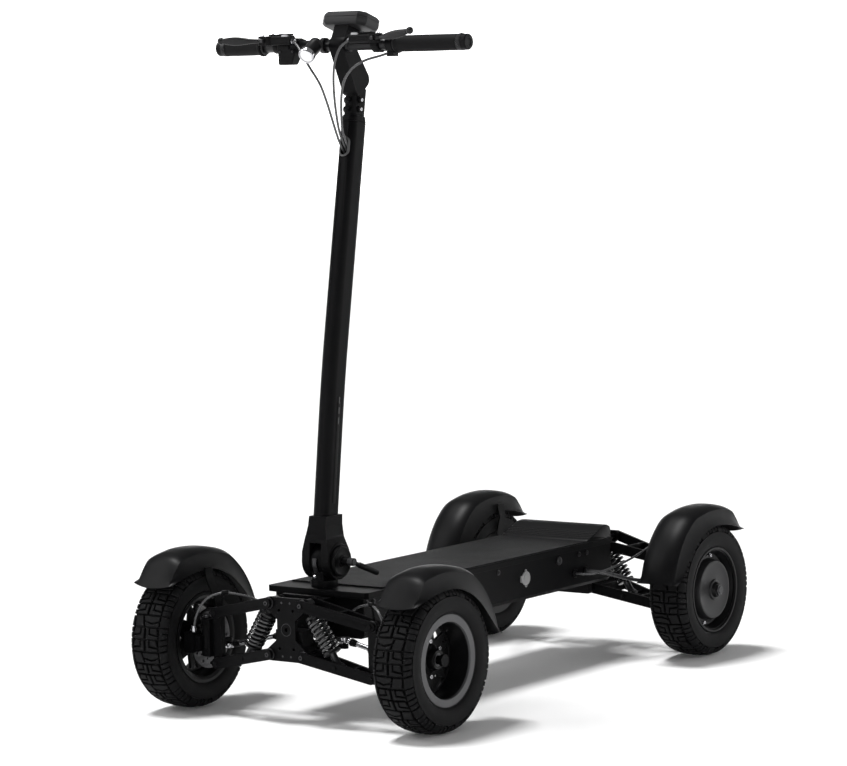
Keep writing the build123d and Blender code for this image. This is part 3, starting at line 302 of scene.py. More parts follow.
def tube(points, radius, sides=14, capped=True):
    """A round tube along points, in millimetres; radius may be a function of the share of its length."""
    line = [Vector(p) for p in points]
    size = radius if callable(radius) else lambda share: radius
    side = Vector((0, 0, 1))
    rings = []
    for i, here in enumerate(line):
        ahead = (line[min(i + 1, len(line) - 1)] - line[max(i - 1, 0)]).normalized()
        if i == 0 and abs(ahead.dot(side)) > 0.9:
            side = Vector((1, 0, 0))
        side = (side - ahead * side.dot(ahead)).normalized()
        other = ahead.cross(side)
        r = size(i / (len(line) - 1))
        rings.append([here + (side * math.cos(a) + other * math.sin(a)) * r
                      for a in (2 * math.pi * k / sides for k in range(sides))])
    return to_mesh(lambda bm: skin(bm, rings, close_ends=capped))


def facing(start, direction):
    """A matrix that stands a lathed piece at start with its +Y along direction."""
    return Matrix.Translation(Vector(start) * MM) @ Vector(direction).to_track_quat("Y",
                                                                                    "Z").to_matrix().to_4x4()


def socket_bolt(radius, height, washer=0.0):
    """A cap screw standing on its seat along +Y, with a six-sided socket."""
    sides = 24
    hexagon = 6

    def build(bm):
        def circle(r, y):
            return [(r * math.cos(2 * math.pi * i / sides), y, r * math.sin(2 * math.pi * i / sides))
                    for i in range(sides)]

        def six(r, y):
            out = []
            for i in range(sides):
                turn = 2 * math.pi * i / sides
                local = (turn % (2 * math.pi / hexagon)) - math.pi / hexagon
                reach = r * math.cos(math.pi / hexagon) / math.cos(local)
                out.append((reach * math.cos(turn), y, reach * math.sin(turn)))
            return out
        rings = [circle(radius, -0.2), circle(radius, height - radius * 0.12), circle(radius * 0.88, height),
                 six(radius * 0.52, height), six(radius * 0.52, height * 0.45)]
        if washer:
            rings = [circle(washer, -0.2), circle(washer, 1.0), circle(radius, 1.0)] + rings[1:]
        skin(bm, rings)
        bm.faces.new([bm.verts.new(p) for p in rings[-1]])
        bm.faces.new([bm.verts.new(p) for p in rings[0]])
    return to_mesh(build)


def bolts(seats, radius, height, washer=0.0):
    """One mesh of cap screws at (place, direction) seats."""
    one = socket_bolt(radius, height, washer)
    return joined(*[moved(one, facing(place, direction)) for place, direction in seats])


def round_edges(thing, width, segments, angle=30):
    bevel = thing.modifiers.new("edge", "BEVEL")
    bevel.width = width * MM
    bevel.segments = segments
    bevel.limit_method = "ANGLE"
    bevel.angle_limit = math.radians(angle)


def soften(node, width=0.6):
    """Rounds a CAD node's sharp edges, without a change to its own mesh."""
    thing = NODES[node]
    weld = thing.modifiers.new("weld", "WELD")
    weld.merge_threshold = 0.00002
    round_edges(thing, width, 2, 38)


def dress(look, *names, edge=0.6):
    for name in names:
        thing = NODES[name]
        thing.data.materials.clear()
        thing.data.materials.append(look)
        if edge:
            soften(name, edge)


# ------------------------------------------------------------------ tyres
TREAD_DEPTH = 7.5
HALF_GROOVE = 0.6
CROWN_RADIUS = 160
CROWN_REACH = 30
SHOULDER_RADIUS = 18
ROWS = 36
ROW_PITCH = 2 * math.pi * TYRE_R / ROWS


def tread_point(t, depth=0.0):
    """(offset along the axle, radius) at distance t from the middle of the tread, sunk by depth."""
    sign = 1 if t >= 0 else -1
    t = abs(t)
    edge_angle = math.asin(CROWN_REACH / CROWN_RADIUS)
    crown_length = CROWN_RADIUS * edge_angle
    if t <= crown_length:
        turn = t / CROWN_RADIUS
        y = CROWN_RADIUS * math.sin(turn)
        r = TYRE_R - CROWN_RADIUS * (1 - math.cos(turn))
    else:
        turn = edge_angle + (t - crown_length) / SHOULDER_RADIUS
        base_y = CROWN_REACH - SHOULDER_RADIUS * math.sin(edge_angle)
        base_r = TYRE_R - CROWN_RADIUS * (1 - math.cos(edge_angle)) - SHOULDER_RADIUS * math.cos(edge_angle)
        y = base_y + SHOULDER_RADIUS * math.sin(turn)
        r = base_r + SHOULDER_RADIUS * math.cos(turn)
    return sign * (y - depth * math.sin(turn)), r - depth * math.cos(turn)


def on_tread(u, t, depth=0.0):
    y, r = tread_point(t, depth)
    turn = u / TYRE_R
    return r * math.cos(turn), y, r * math.sin(turn)


def inset(outline, amount):
    """The outline moved inwards by an amount."""
    area = sum(a[0] * b[1] - b[0] * a[1] for a, b in zip(outline, outline[1:] + outline[:1]))
    sign = 1 if area > 0 else -1
    out = []
    for i, here in enumerate(outline):
        before = Vector(here) - Vector(outline[i - 1])
        after = Vector(outline[(i + 1) % len(outline)]) - Vector(here)
        n1 = Vector((-before.y, before.x)).normalized() * sign
        n2 = Vector((-after.y, after.x)).normalized() * sign
        mid = (n1 + n2).normalized()
        out.append(tuple(Vector(here) + mid * amount / max(0.35, mid.dot(n1))))
    return out


def tread_block(bm, outline, offset):
    """A raised block whose outline is in (distance round the tyre, distance across it)."""
    chamfer = 0.9
    outline = inset(outline, HALF_GROOVE)
    top = inset(outline, chamfer)
    rings = [[on_tread(u + offset, t, TREAD_DEPTH + 1) for u, t in outline],
             [on_tread(u + offset, t, chamfer) for u, t in outline],
             [on_tread(u + offset, t) for u, t in top]]
    skin(bm, rings)
    bm.faces.new([bm.verts.new(p) for p in rings[-1]])


def shoulder_lug(bm, u0, u1, t0, t1, lean, offset):
    """A lug that wraps from the tread over the shoulder."""
    steps = 5
    side = math.copysign(1, t0)
    rings = []
    for i in range(steps + 1):
        share = i / steps
        t = t0 + (t1 - t0) * share
        shift = offset + lean * share
        low = TREAD_DEPTH + 1
        end = 1.0 if i in (0, steps) else 0.0
        rings.append([on_tread(u0 + shift, t, low), on_tread(u0 + shift, t, 0.9),
                      on_tread(u0 + 0.9 + shift, t + end * side * (1 if i == 0 else -1) * 0.5, end * 0.5),
                      on_tread(u1 - 0.9 + shift, t + end * side * (1 if i == 0 else -1) * 0.5, end * 0.5),
                      on_tread(u1 + shift, t, 0.9), on_tread(u1 + shift, t, low)])
    skin(bm, rings, close_ends=True)


def tread(bm):
    angled = [(-11, 2), (10.6, 2), (10.6, 10), (-2.4, 10), (-5.2, 30.5), (-11, 30.5)]
    inner = [(0, 12), (10.6, 12), (10.6, 27), (-2.6, 30.5)]
    fork_high = [(1.3, -30.5), (-3.4, -13), (1.3, 5), (10.6, 7.4), (10.6, -30.5)]
    fork_low = [(-11, -30.5), (-1.3, -30.5), (-6, -13), (-1.3, 4.2), (-11, 1.6)]
    solid = [(-11, 4.6), (10.6, 10.4), (10.6, 30.5), (-11, 27)]
    for row in range(ROWS):
        offset = row * ROW_PITCH
        if row % 3 == 2:
            for outline in (fork_high, fork_low, solid):
                tread_block(bm, outline, offset)
        else:
            for outline in (angled, inner):
                tread_block(bm, outline, offset)
                tread_block(bm, [(u, -t) for u, t in outline], offset)
        for side in (-1, 1):
            if row % 3 == 2:
                shoulder_lug(bm, -11, 10.6, side * 33, side * 52.5, 2, offset)
            else:
                shoulder_lug(bm, -11, -1.4, side * 33, side * 50.5, 3, offset)
                shoulder_lug(bm, 1.2, 10.6, side * 33, side * 52.5, 3, offset)


def carcass():
    """The tyre's body under the tread, with its smooth side walls and beads."""
    under = [tread_point(t, TREAD_DEPTH) for t in range(-52, 53, 4)]
    low_edge = tread_point(53.5)
    wall = [(low_edge[0] - 0.3, 119), (45, 112), (44.6, 104), (43, 97), (40.5, 92.5), (38, 90.6),
            (37.4, 86), (37.2, 84)]
    right = under[len(under) // 2:] + [low_edge] + wall
    left = [(-a, r) for a, r in reversed(right[1:])]
    return lathe(left + right, steps=144, closed=True, angle=40)


def tyres():
    tread_mesh = to_mesh(tread, angle=28)
    body_mesh = carcass()
    for end, side, x_sign, y_sign in CORNERS:
        name = f"{end}_{side}_"
        spot = wheel_spot(end, x_sign, y_sign)
        piece(name + "tyre_body", moved(body_mesh, spot), name + "wheel", "tyre", RUBBER, name + "tyre")
        piece(name + "tyre_tread", moved(tread_mesh, spot), name + "wheel", "tyre", RUBBER)


# ------------------------------------------------------------------ front wheels
RIM_R = 90.2
RING_R = 73


def front_wheels():
    lip = [(-40.5, 84), (-40.5, RIM_R), (-37.5, RIM_R), (-37, 83), (36.6, 83), (37, RIM_R), (38.6, RIM_R),
           (39.2, RIM_R - 1), (38.4, 88)]
    ring_face = [(38.2, 88.4), (38.8, 87.6), (38.4, RING_R + 1), (37.2, RING_R), (34, RING_R - 0.6),
                 (34, 88.4)]
    dish = [(34.2, RING_R - 0.6), (30, 72.5), (2, 70.5), (-12, 68), (-38, 78), (-40.5, 84), (-38, 84),
            (-10, 74),
            (34, 76)]
    window_out, window_in = 64, 37
    holes = []
    spokes = 6
    for i in range(spokes):
        turn = 360 / spokes * i
        outer = arc((0, 0), window_out, turn - 17, turn + 17, 6)
        inner = [(window_in * math.cos(math.radians(turn)), window_in * math.sin(math.radians(turn)))]
        holes.append(outer + inner)
        twin = turn + 180 / spokes
        slot = arc((0, 0), window_out, twin - 7, twin + 7, 3)
        slot += [(50 * math.cos(math.radians(twin)), 50 * math.sin(math.radians(twin)))]
        holes.append(slot)
    spider = moved(plate([ring(69.5, 72), *holes], 7, 1.0), at(0, -9, 0) @ ALONG_Y)
    hub = lathe([(-36, 15), (-36, 25), (-14, 30), (-6, 30), (-4, 27), (2, 21), (14, 19.5), (16, 18),
                 (16, 13),
                 (12, 12), (12, 10)], 64)
    cap = lathe([(11.5, 17), (14.5, 16.5), (15.2, 15.4), (15.2, 9), (14, 8.4), (11.5, 8.4)], 48)
    face_bolts = bolts([((34 * math.cos(a), -5.5, 34 * math.sin(a)), (0, 1, 0))
                        for a in (math.radians(60 * i + 30) for i in range(6))], 4.2, 5)
    hub_bolt = bolts([((0, 11, 0), (0, 1, 0))], 7.5, 8, washer=11)
    valve = joined(moved(lathe([(0, 3.4), (12, 3.2), (14, 2.4), (20, 2.4), (22, 2.8), (24, 2.6), (24.5, 0)],
                               20,
                               closed=False), facing((0, 14, 66), (0, 0.9, -0.35))))
    disc_r = 60
    vents = []
    for i in range(12):
        for radius, hole in ((50, 3.4), (41, 2.6)):
            turn = math.radians(30 * i + (15 if radius == 41 else 0))
            vents.append(ring(hole, 10, (radius * math.cos(turn), radius * math.sin(turn))))
    rotor = moved(plate([ring(disc_r, 96), ring(30, 48), *vents], 3, 0.3), at(0, -50.5, 0) @ ALONG_Y)
    disc_bolts = bolts([((25 * math.cos(a), -48, 25 * math.sin(a)), (0, -1, 0))
                        for a in (math.radians(72 * i) for i in range(5))], 3.2, 3)
    carrier = lathe([(-48.6, 14), (-48.6, 31), (-47, 33), (-38, 33), (-36.4, 27), (-36.4, 14)], 48)
    for end, side, x_sign, y_sign in CORNERS[:2]:
        name = f"{end}_{side}_"
        spot = wheel_spot(end, x_sign, y_sign)
        parts = [("rim_ring", joined(lathe(ring_face, 128)), RIM_GREY),
                 ("rim_lip", lathe(lip, 128), RIM_BLACK),
                 ("rim_dish", lathe(dish, 128), RIM_BLACK), ("rim_spider", spider, RIM_BLACK),
                 ("hub", hub, RIM_BLACK),
                 ("hub_cap", cap, RIM_GREY), ("rim_bolts", face_bolts, STEEL),
                 ("hub_bolt", hub_bolt, DARK_STEEL),
                 ("valve", valve, RUBBER), ("disc_rotor", rotor, DISC_STEEL),
                 ("disc_bolts", disc_bolts, DARK_STEEL),
                 ("disc_carrier", carrier, RIM_BLACK)]
        for label, mesh, look in parts:
            stands_for = [name + "rim"] if label == "rim_dish" else []
            piece(name + label, moved(mesh, spot), name + "wheel", "wheel_alloy", look, *stands_for)


# ------------------------------------------------------------------ rear hub motors
def rear_wheels():
    shell = [(-40.5, 73), (-40.5, RIM_R), (-37.5, RIM_R), (-37, 83), (37, 83), (37.4, RIM_R), (40, RIM_R),
             (41, RIM_R - 1), (41, 86.5), (40, 85.2), (36, 84.4), (28, 79), (19, 76.5), (18, 75), (18, 60),
             (-36, 60), (-36, 73)]
    cover = [(18, 72), (20.5, 71), (21.5, 66), (26, 64.5), (36, 62), (38.4, 60.4), (39, 58.6), (38, 55),
             (37.2, 24),
             (37.6, 22), (41, 20.4), (41.6, 19), (41.6, 9), (18, 9)]
    boss = [(40, 17), (47, 14.8), (49, 13.6), (49.4, 12), (49.4, 9), (40, 9)]
    back = [(-36, 72), (-37.5, 70), (-40, 30), (-43, 24), (-43, 9), (-36, 9)]
    stub = [(46, 8), (53.4, 8), (54.4, 7), (54.4, 0)]
    cover_bolts = bolts([((71 * math.cos(a), 19, 71 * math.sin(a)), (0, 1, 0))
                         for a in (math.radians(60 * i + 18) for i in range(6))], 3.4, 4, washer=4.6)
    nut = to_mesh(lambda bm: skin(bm, [[(12.6 * math.cos(a), y, 12.6 * math.sin(a))
                                       for a in (math.radians(60 * i) for i in range(6))]
                                      for y in (49.4, 53)], close_ends=True))
    for end, side, x_sign, y_sign in CORNERS[2:]:
        name = f"{end}_{side}_"
        spot = wheel_spot(end, x_sign, y_sign)
        parts = [("motor_rim", lathe(shell, 128), RIM_BLACK), ("motor_cover", lathe(cover, 96), MOTOR_GREY),
                 ("motor_boss", lathe(boss, 64), RIM_BLACK), ("motor_back", lathe(back, 64), RIM_BLACK),
                 ("motor_bolts", cover_bolts, STEEL)]
        for label, mesh, look in parts:
            stands_for = [name + "hub_motor"] if label == "motor_rim" else []
            piece(name + label, moved(mesh, spot), name + "wheel", "wheel_alloy", look, *stands_for)
        piece(name + "axle_end", moved(lathe(stub, 40, closed=False), spot), name + "upright", "rod_steel",
              DARK_STEEL)
        piece(name + "axle_nut", moved(nut, spot), name + "upright", "rod_steel", DARK_STEEL)


# ------------------------------------------------------------------ fenders
FENDER_HALF = 50


def between(table, x):
    """Smooth value at x of a table of (x, value)."""
    if x <= table[0][0]:
        return table[0][1]
    for i in range(len(table) - 1):
        (x0, y0), (x1, y1) = table[i], table[i + 1]
        if x <= x1:
            before = table[i - 1] if i else table[0]
            after = table[i + 2] if i + 2 < len(table) else table[-1]
            m0 = (y1 - before[1]) / (x1 - before[0])
            m1 = (after[1] - y0) / (after[0] - x0)
            h = x1 - x0
            s = (x - x0) / h
            return ((1 + 2 * s) * (1 - s) ** 2 * y0 + s * (1 - s) ** 2 * h * m0
                    + s * s * (3 - 2 * s) * y1 + s * s * (s - 1) * h * m1)
    return table[-1][1]


CROWN = [(46, 160), (52, 165), (59, 174), (66, 182), (78, 180.5), (92, 178.5), (106, 180.5), (117, 184),
         (130, 181.5),
         (148, 178.5), (170, 178)]
SKIRT = [(46, 160), (52, 154), (60, 147), (70, 141), (84, 137), (100, 136), (128, 136), (146, 139),
         (158, 146),
         (166, 157), (170, 170)]


def fender_section(turn, sink):
    """Points across the fender at an angle above the horizon, in (offset along the axle, radius)."""
    crown = between(CROWN, turn) - sink
    skirt = between(SKIRT, turn)
    ridge = FENDER_HALF - 9
    side = FENDER_HALF - sink
    drop = (crown - skirt)
    ease = min(1.0, max(0.0, (turn - 48) / 26))
    half = []
    for i in range(11):
        share = i / 10
        y = (ridge - sink * 0.5) * share
        half.append((y, crown - min(9 * ease + 1.2, 0.5 * drop) * share ** 2.8))
    edge_y, edge_r = half[-1]
    for i in range(1, 9):
        share = i / 8
        r = edge_r + (skirt - edge_r) * share
        y = edge_y + (side - edge_y) * share ** 1.5
        half.append((y, r))
    return [(-y, r) for y, r in reversed(half[1:])] + half


def fender_shell():
    thick = 2.4
    steps = 64

    def build(bm):
        def sheet(sink):
            rings = []
            for i in range(steps + 1):
                turn = 46 + (170 - 46) * i / steps
                out = []
                for y, r in fender_section(turn, sink):
                    bow = 0.0
                    if turn < 56:
                        bow = (56 - turn) / 10 * (2.2 - 3.4 * (abs(y) / FENDER_HALF) ** 2)
                    a = math.radians(turn - bow)
                    out.append((r * math.cos(a), y, r * math.sin(a)))
                rings.append(out)
            return rings
        outer, inner = sheet(0.0), sheet(thick)
        skin(bm, outer, close_ring=False)
        skin(bm, inner, close_ring=False)
        skin(bm, [[row[0] for row in outer], [row[0] for row in inner]], close_ring=False)
        skin(bm, [[row[-1] for row in outer], [row[-1] for row in inner]], close_ring=False)
        skin(bm, [outer[0], inner[0]], close_ring=False)
        skin(bm, [outer[-1], inner[-1]], close_ring=False)
    return to_mesh(build, angle=50)


def fenders():
    shell = fender_shell()
    for end, side, x_sign, y_sign in CORNERS:
        name = f"{end}_{side}_"
        body = name + ("knuckle" if end == "front" else "upright")
        spot = wheel_spot(end, x_sign, y_sign)
        piece(name + "fender_shell", moved(shell, spot), body, "moulded_black", SATIN, name + "fender")
        stay_y = HALF_TRACK[end] - FENDER_HALF - 1.7
        foot = 220 if end == "front" else 232
        foot_y = 217 if end == "front" else 228
        points = [(AXLE_X, foot_y, foot - 46), (AXLE_X, foot_y, foot - 20), (AXLE_X, foot_y + 3, foot),
                  (AXLE_X, stay_y - 4, foot + 34), (AXLE_X, stay_y, foot + 50), (AXLE_X, stay_y, foot + 62)]
        strap = to_mesh(lambda bm: skin(bm,
                                        [[(x + 11, y - 1.5, z), (x + 11, y + 1.5, z), (x - 11, y + 1.5, z),
                                              (x - 11, y - 1.5, z)] for x, y, z in points], close_ends=True))
        piece(name + "fender_stay", moved(strap, corner_flip(x_sign, y_sign)), body, "painted_frame", POWDER)


# ------------------------------------------------------------------ springs and shock absorbers
def springs():
    for end, side, _, _ in CORNERS:
        name = f"{end}_{side}_"
        top = pivot(name + "shock_pivot")
        slide = Vector(JOINTS[name + "shock_slide"]["axis"])
        down = -slide.normalized()
        rod_eye = 9
        length = (top.z - (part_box(name + "shock_rod")[0].z / MM + rod_eye)) / -down.z
        start, stop = 31.5, length - 35
        wire = 3.3
        coil_r = 16.2
        turns = 7.4
        steps = 230
        across = Vector((1, 0, 0))
        other = down.cross(across)
        points = []
        for i in range(steps + 1):
            share = i / steps
            ground = 0.5 - 0.5 * math.cos(math.pi * share)
            way = 0.72 * share + 0.28 * ground
            turn = 2 * math.pi * turns * share
            points.append(top + down * (start + wire + (stop - start - 2 * wire) * way)
                          + (across * math.cos(turn) + other * math.sin(turn)) * coil_r)
        coil = tube(points, wire, sides=12)
        thing = bpy.data.objects.new(name + "spring_coil", coil)
        bpy.context.scene.collection.objects.link(thing)
        coil.materials.append(SPRING)
        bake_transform(thing)
        if name == FRONT_LEFT:
            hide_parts("coil_springs")
        collar = lathe([(0, 11.4), (0, 17.4), (2, 18.2), (4.6, 18.2), (6, 17), (6, 11.4)], 48)
        nut = lathe([(0, 11.2), (0, 15), (1, 15.6), (4, 15.6), (5, 15), (5, 11.2)], 36)
        piece(name + "spring_collar", moved(collar, facing(top + down * 25, down)), name + "shock_body",
              "bar_alloy", ANODISED)
        piece(name + "preload_nut", moved(nut, facing(top + down * 34, down)), name + "shock_body",
              "bar_alloy", ANODISED)
        cup = lathe([(0, 7), (0, 17.6), (1.4, 18.4), (4, 18.4), (5, 16), (5, 7)], 48)
        piece(name + "spring_cup", moved(cup, facing(top + down * (length - 34.6), down)),
              name + "shock_rod",
              "bar_alloy", ANODISED)


# ------------------------------------------------------------------ cables and hoses
CABLE_R = 2.4
LEAD_R = 4
CONTROL_ROUTES = [
    [(366, 40.6, 1310), (370, 30, 1306), (379, 19, 1291), (383, 10, 1260), (379, 5.5, 1213), (367, 2, 1162),
     (353, 0, 1120), (329, 0, 1090)],
    [(366, -100.6, 1310), (371, -87, 1304), (383, -67, 1286), (390, -43, 1258), (388, -19, 1226),
     (379, -9, 1185), (363, -6, 1140), (348, -5.4, 1108), (326, -5.4, 1080)],
    [(346, 113.8, 1282), (352, 98, 1277), (362, 73, 1271), (368, 48, 1259), (369, 26, 1238), (366, 14, 1206),
     (361, 9.2, 1168), (354, 5.6, 1124), (331, 5.4, 1096)],
]
MOTOR_LEAD = [(-323, 111.2, 190), (-324.5, 124, 189.6), (-343, 138, 186), (-370, 152, 177), (-402, 166, 166),
              (-438, 179, 158), (-472, 188, 153)]
THIN_LEAD = [(-281, 111.2, 190), (-282, 122, 189.6), (-297, 138, 188), (-330, 148, 191), (-366, 160, 199),
             (-402, 172, 210), (-436, 184, 224), (-462, 191, 236), (-476, 189.5, 236), (-479, 188.8, 224),
             (-479, 188.5, 213)]
HOSE_ON_ARM = [(458.9, 80, 205), (471, 81.5, 206), (487, 98, 214), (502, 122, 226), (515, 150, 236),
               (528, 178, 240)]
HOSE_TO_CALIPER = [(528, 178, 240), (541, 200, 236), (550, 216, 222), (553, 228, 203), (553, 237, 183),
                   (553, 240, 161.3)]


def spline(name, route, radius=0.0):
    """An open NURBS curve with the given control points, in millimetres."""
    curve = bpy.data.curves.new(name, "CURVE")
    curve.dimensions = "3D"
    curve.resolution_u = 14
    line = curve.splines.new("NURBS")
    line.points.add(len(route) - 1)
    for point, place in zip(line.points, route):
        point.co = (*[v * MM for v in place], 1)
    line.order_u = 3
    line.use_endpoint_u = True
    curve.bevel_depth = radius * MM
    curve.bevel_resolution = 4
    curve.use_fill_caps = True
    thing = bpy.data.objects.new(name, curve)
    bpy.context.scene.collection.objects.link(thing)
    return thing


def centre_line(route):
    """Points in metres along a route's spline."""
    holder = spline("line", route)
    mesh = bpy.data.meshes.new_from_object(holder)
    points = [v.co.copy() for v in mesh.vertices]
    bpy.data.curves.remove(holder.data)
    return points


def length_of(points):
    return sum((b - a).length for a, b in zip(points, points[1:]))


def control_cables():
    for i, route in enumerate(CONTROL_ROUTES):
        cable = spline(f"control_cable_{i + 1}", route, CABLE_R)
        cable.data.materials.append(JACKET)
        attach(cable, "column")
        if i == 0:
            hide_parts("control_cables")
        length_of(centre_line(route))


def bending_hose(name, route, radius):
    """A cable between two bodies of a joint, as a fixed tube along its route."""
    path = centre_line(route)
    mesh = tube([p / MM for p in path], radius, sides=14)
    mesh.materials.append(JACKET)
    thing = bpy.data.objects.new(name, mesh)
    bpy.context.scene.collection.objects.link(thing)
    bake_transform(thing)
    return thing


def wheel_cables():
    clip = lathe([(-7, 2.5), (-7, 4.2), (-6, 4.8), (6, 4.8), (7, 4.2), (7, 2.5)], 32)
    gland = lathe([(0, 4), (0, 6), (1, 6.6), (7, 6.6), (8, 5.8), (9, 7.4), (15, 7.4), (15, 4)], 32)
    collar = lathe([(-2, 2.5), (-2, 4.4), (5, 4.4), (6, 3.6), (6, 2.5)], 24)
    for side, y_sign in SIDES:
        flip = corner_flip(1, y_sign)
        rear, front = f"rear_{side}_", f"front_{side}_"

        def own(route):
            return [(x, y * y_sign, z) for x, y, z in route]
        lead = bending_hose(rear + "motor_lead", own(MOTOR_LEAD), LEAD_R)
        if side == "left":
            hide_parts("wheel_cables")
        bending_hose(rear + "sensor_lead", own(THIN_LEAD), CABLE_R)
        bending_hose(front + "hose_on_arm", own(HOSE_ON_ARM), CABLE_R)
        bending_hose(front + "hose_to_caliper", own(HOSE_TO_CALIPER), CABLE_R)
        piece(rear + "lead_gland", moved(gland, flip @ facing(MOTOR_LEAD[-1], (-1, 0.05, -0.1))),
              rear + "upright",
              "moulded_black", SATIN)
        piece(rear + "sensor_plug", moved(collar, flip @ facing((-479, 188.5, 216), (0, 0, -1))),
              rear + "upper_arm", "moulded_black", SATIN)
        piece(front + "hose_clip", moved(clip, flip @ facing(HOSE_ON_ARM[-1], (13, 24, 0.5))),
              front + "upright",
              "moulded_black", SATIN)
        stem = tube([(533, 187, 208), (532, 185, 222), (529, 180, 236)], 2.2, sides=10)
        piece(front + "hose_bracket", moved(stem, flip), front + "upright", "painted_frame", POWDER)
        banjo = joined(moved(lathe([(-4, 0), (-4, 5.4), (4, 5.4), (4, 0)], 24, closed=False),
                             facing((553, 240, 164.5), (0, 0, 1))),
                       moved(socket_bolt(4.2, 5), facing((553, 240, 168), (0, 0, 1))))
        piece(front + "banjo", moved(banjo, flip), front + "knuckle", "rod_steel", STEEL)


# ------------------------------------------------------------------ handlebar and what it carries
BAR = pivot("throttle")
BAR_X, BAR_Z = BAR.x, BAR.z
PIVOTS = {"left": pivot("left_brake"), "right": pivot("right_brake")}


def display():
    """An eight-sided case with a seam round it and a sunk screen, tilted towards the rider."""
    low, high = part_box("display")
    centre = (low + high) / 2 / MM
    depth, width, cut, tilt = 70, 108, 15, -18
    x, y = depth / 2, width / 2
    outline = [(x, y - cut), (x - cut, y), (-x + cut, y), (-x, y - cut), (-x, -y + cut), (-x + cut, -y),
               (x - cut, -y), (x, -y + cut)]
    levels = [(-14, 7), (-13, 4.6), (-9, 0.6), (-7.5, 0), (1.2, 0), (1.5, 0.9), (2.3, 0.9), (2.6, 0), (7, 0),
              (8.2, 0.5), (13, 5.4), (14, 7), (14, 8.4), (13.2, 9)]

    def build(bm):
        rings = [[(px, py, z) for px, py in inset(outline, depth_in)] for z, depth_in in levels]
        skin(bm, rings)
        bm.faces.new([bm.verts.new(p) for p in rings[0]])

    def screen(bm):
        bm.faces.new([bm.verts.new((px, py, 13.3)) for px, py in inset(outline, 8.8)])
    lean = Matrix.Rotation(math.radians(tilt), 4, "Y")
    spot = at(centre.x, 0, centre.z - 2) @ lean
    case = piece("display_case", moved(to_mesh(build, angle=24), spot), "column", "gloss_black", CASE,
                 "display")
    round_edges(case, 1.2, 3, 24)
    piece("display_screen", moved(to_mesh(screen), spot), "column", "gloss_black", GLASS)
    buttons = [rounded_box((7, 11, 2.4), 0.9)] * 3
    row = joined(*[moved(b, at(-24, gap, 13.6)) for b, gap in zip(buttons, (-15, 0, 15))])
    piece("display_buttons", moved(row, spot), "column", "moulded_black", SATIN)


def headlight():
    back, front = Vector((366, -40, 1306)), Vector((406, -40, 1279))
    spot = facing(back, front - back)
    shell = lathe([(0, 0), (0, 10.5), (1.2, 12.8), (3, 14), (5, 14.5), (5.8, 13.4), (7, 13.4), (7.8, 14.5),
                   (8.8, 14.5), (9.6, 13.4), (10.8, 13.4), (11.6, 14.5), (37, 14.5), (38, 14.9), (38, 0)],
                  64,
                  closed=False)
    bezel = lathe([(37.6, 0), (37.6, 15.8), (38.4, 16.6), (45.6, 16.6), (47.4, 16.1), (48.2, 15.2),
                   (47.8, 14),
                   (45, 13.4), (45, 0)], 64, closed=False)
    lens = lathe([(44.8, 0), (44.8, 13.3), (46.4, 12.8), (47.4, 9), (47.9, 4.5), (48, 0)], 48, closed=False)
    clamp = lathe([(-5, 11.1), (-5, 14.6), (-4.2, 15.4), (4.2, 15.4), (5, 14.6), (5, 11.1)], 48)
    piece("headlight_shell", moved(shell, spot), "column", "bar_alloy", ANODISED, "headlight")
    piece("headlight_bezel", moved(bezel, spot), "column", "bar_alloy", CHROME)
    piece("headlight_lens", moved(lens, spot), "column", "bar_alloy", LENS)
    piece("headlight_clamp", moved(clamp, at(BAR_X, -40, BAR_Z)), "column", "bar_alloy", ANODISED)
    arm = moved(rounded_box((17, 8, 9), 1.5), at(BAR_X + 20, -40, BAR_Z + 2))
    piece("headlight_arm", arm, "column", "bar_alloy", ANODISED)
    screw = bolts([((BAR_X + 18, -44, BAR_Z + 2), (0, -1, 0))], 3.2, 3)
    piece("headlight_screw", screw, "column", "fitting_metal", STEEL)


def grips():
    end = 302.5
    for side, y_sign, start in (("left", 1, 135), ("right", -1, 190)):
        spot = corner_flip(1, y_sign) @ at(BAR_X, 0, BAR_Z)
        sleeve = [(start, 11.2), (start, 17.2), (start + 1, 18), (start + 4, 18), (start + 5.6, 16.6),
                  (start + 9, 15.7), (start + 60, 16), (276, 15.7), (279, 15.3), (280, 14.6), (280, 11.2)]
        band = [(280.4, 11.2), (280.4, 15.6), (281, 16.3), (290, 16.3), (290.6, 15.6), (290.6, 11.2)]
        cap = [(290.8, 0), (290.8, 15.4), (300.6, 15.4), (end, 14), (end, 8), (end - 1.2, 7.4),
               (end - 1.2, 0)]
        lock = [(start - 5, 11.2), (start - 5, 14.2), (start - 4.2, 15), (start - 1, 15),
                (start - 0.4, 14.4),
                (start - 0.4, 11.2)]
        stands_for = ["grips"] if side == "left" else []
        piece(side + "_grip", moved(lathe(sleeve, 64), spot), "column", "grip_rubber", SOFT_GRIP,
              *stands_for)
        piece(side + "_grip_band", moved(lathe(band, 64), spot), "column", "fitting_metal", ANODISED)
        piece(side + "_grip_cap", moved(lathe(cap, 64, closed=False), spot), "column", "bar_alloy", SATIN)
        piece(side + "_grip_lock", moved(lathe(lock, 48), spot), "column", "bar_alloy", ANODISED)
        screw = bolts([((0, 285.5, 16), (0, 0, 1)), ((15.2, 285.5, -5), (1, 0, -0.33))], 2, 1.6)
        piece(side + "_grip_screws", moved(screw, spot), "column", "fitting_metal", DARK_STEEL)


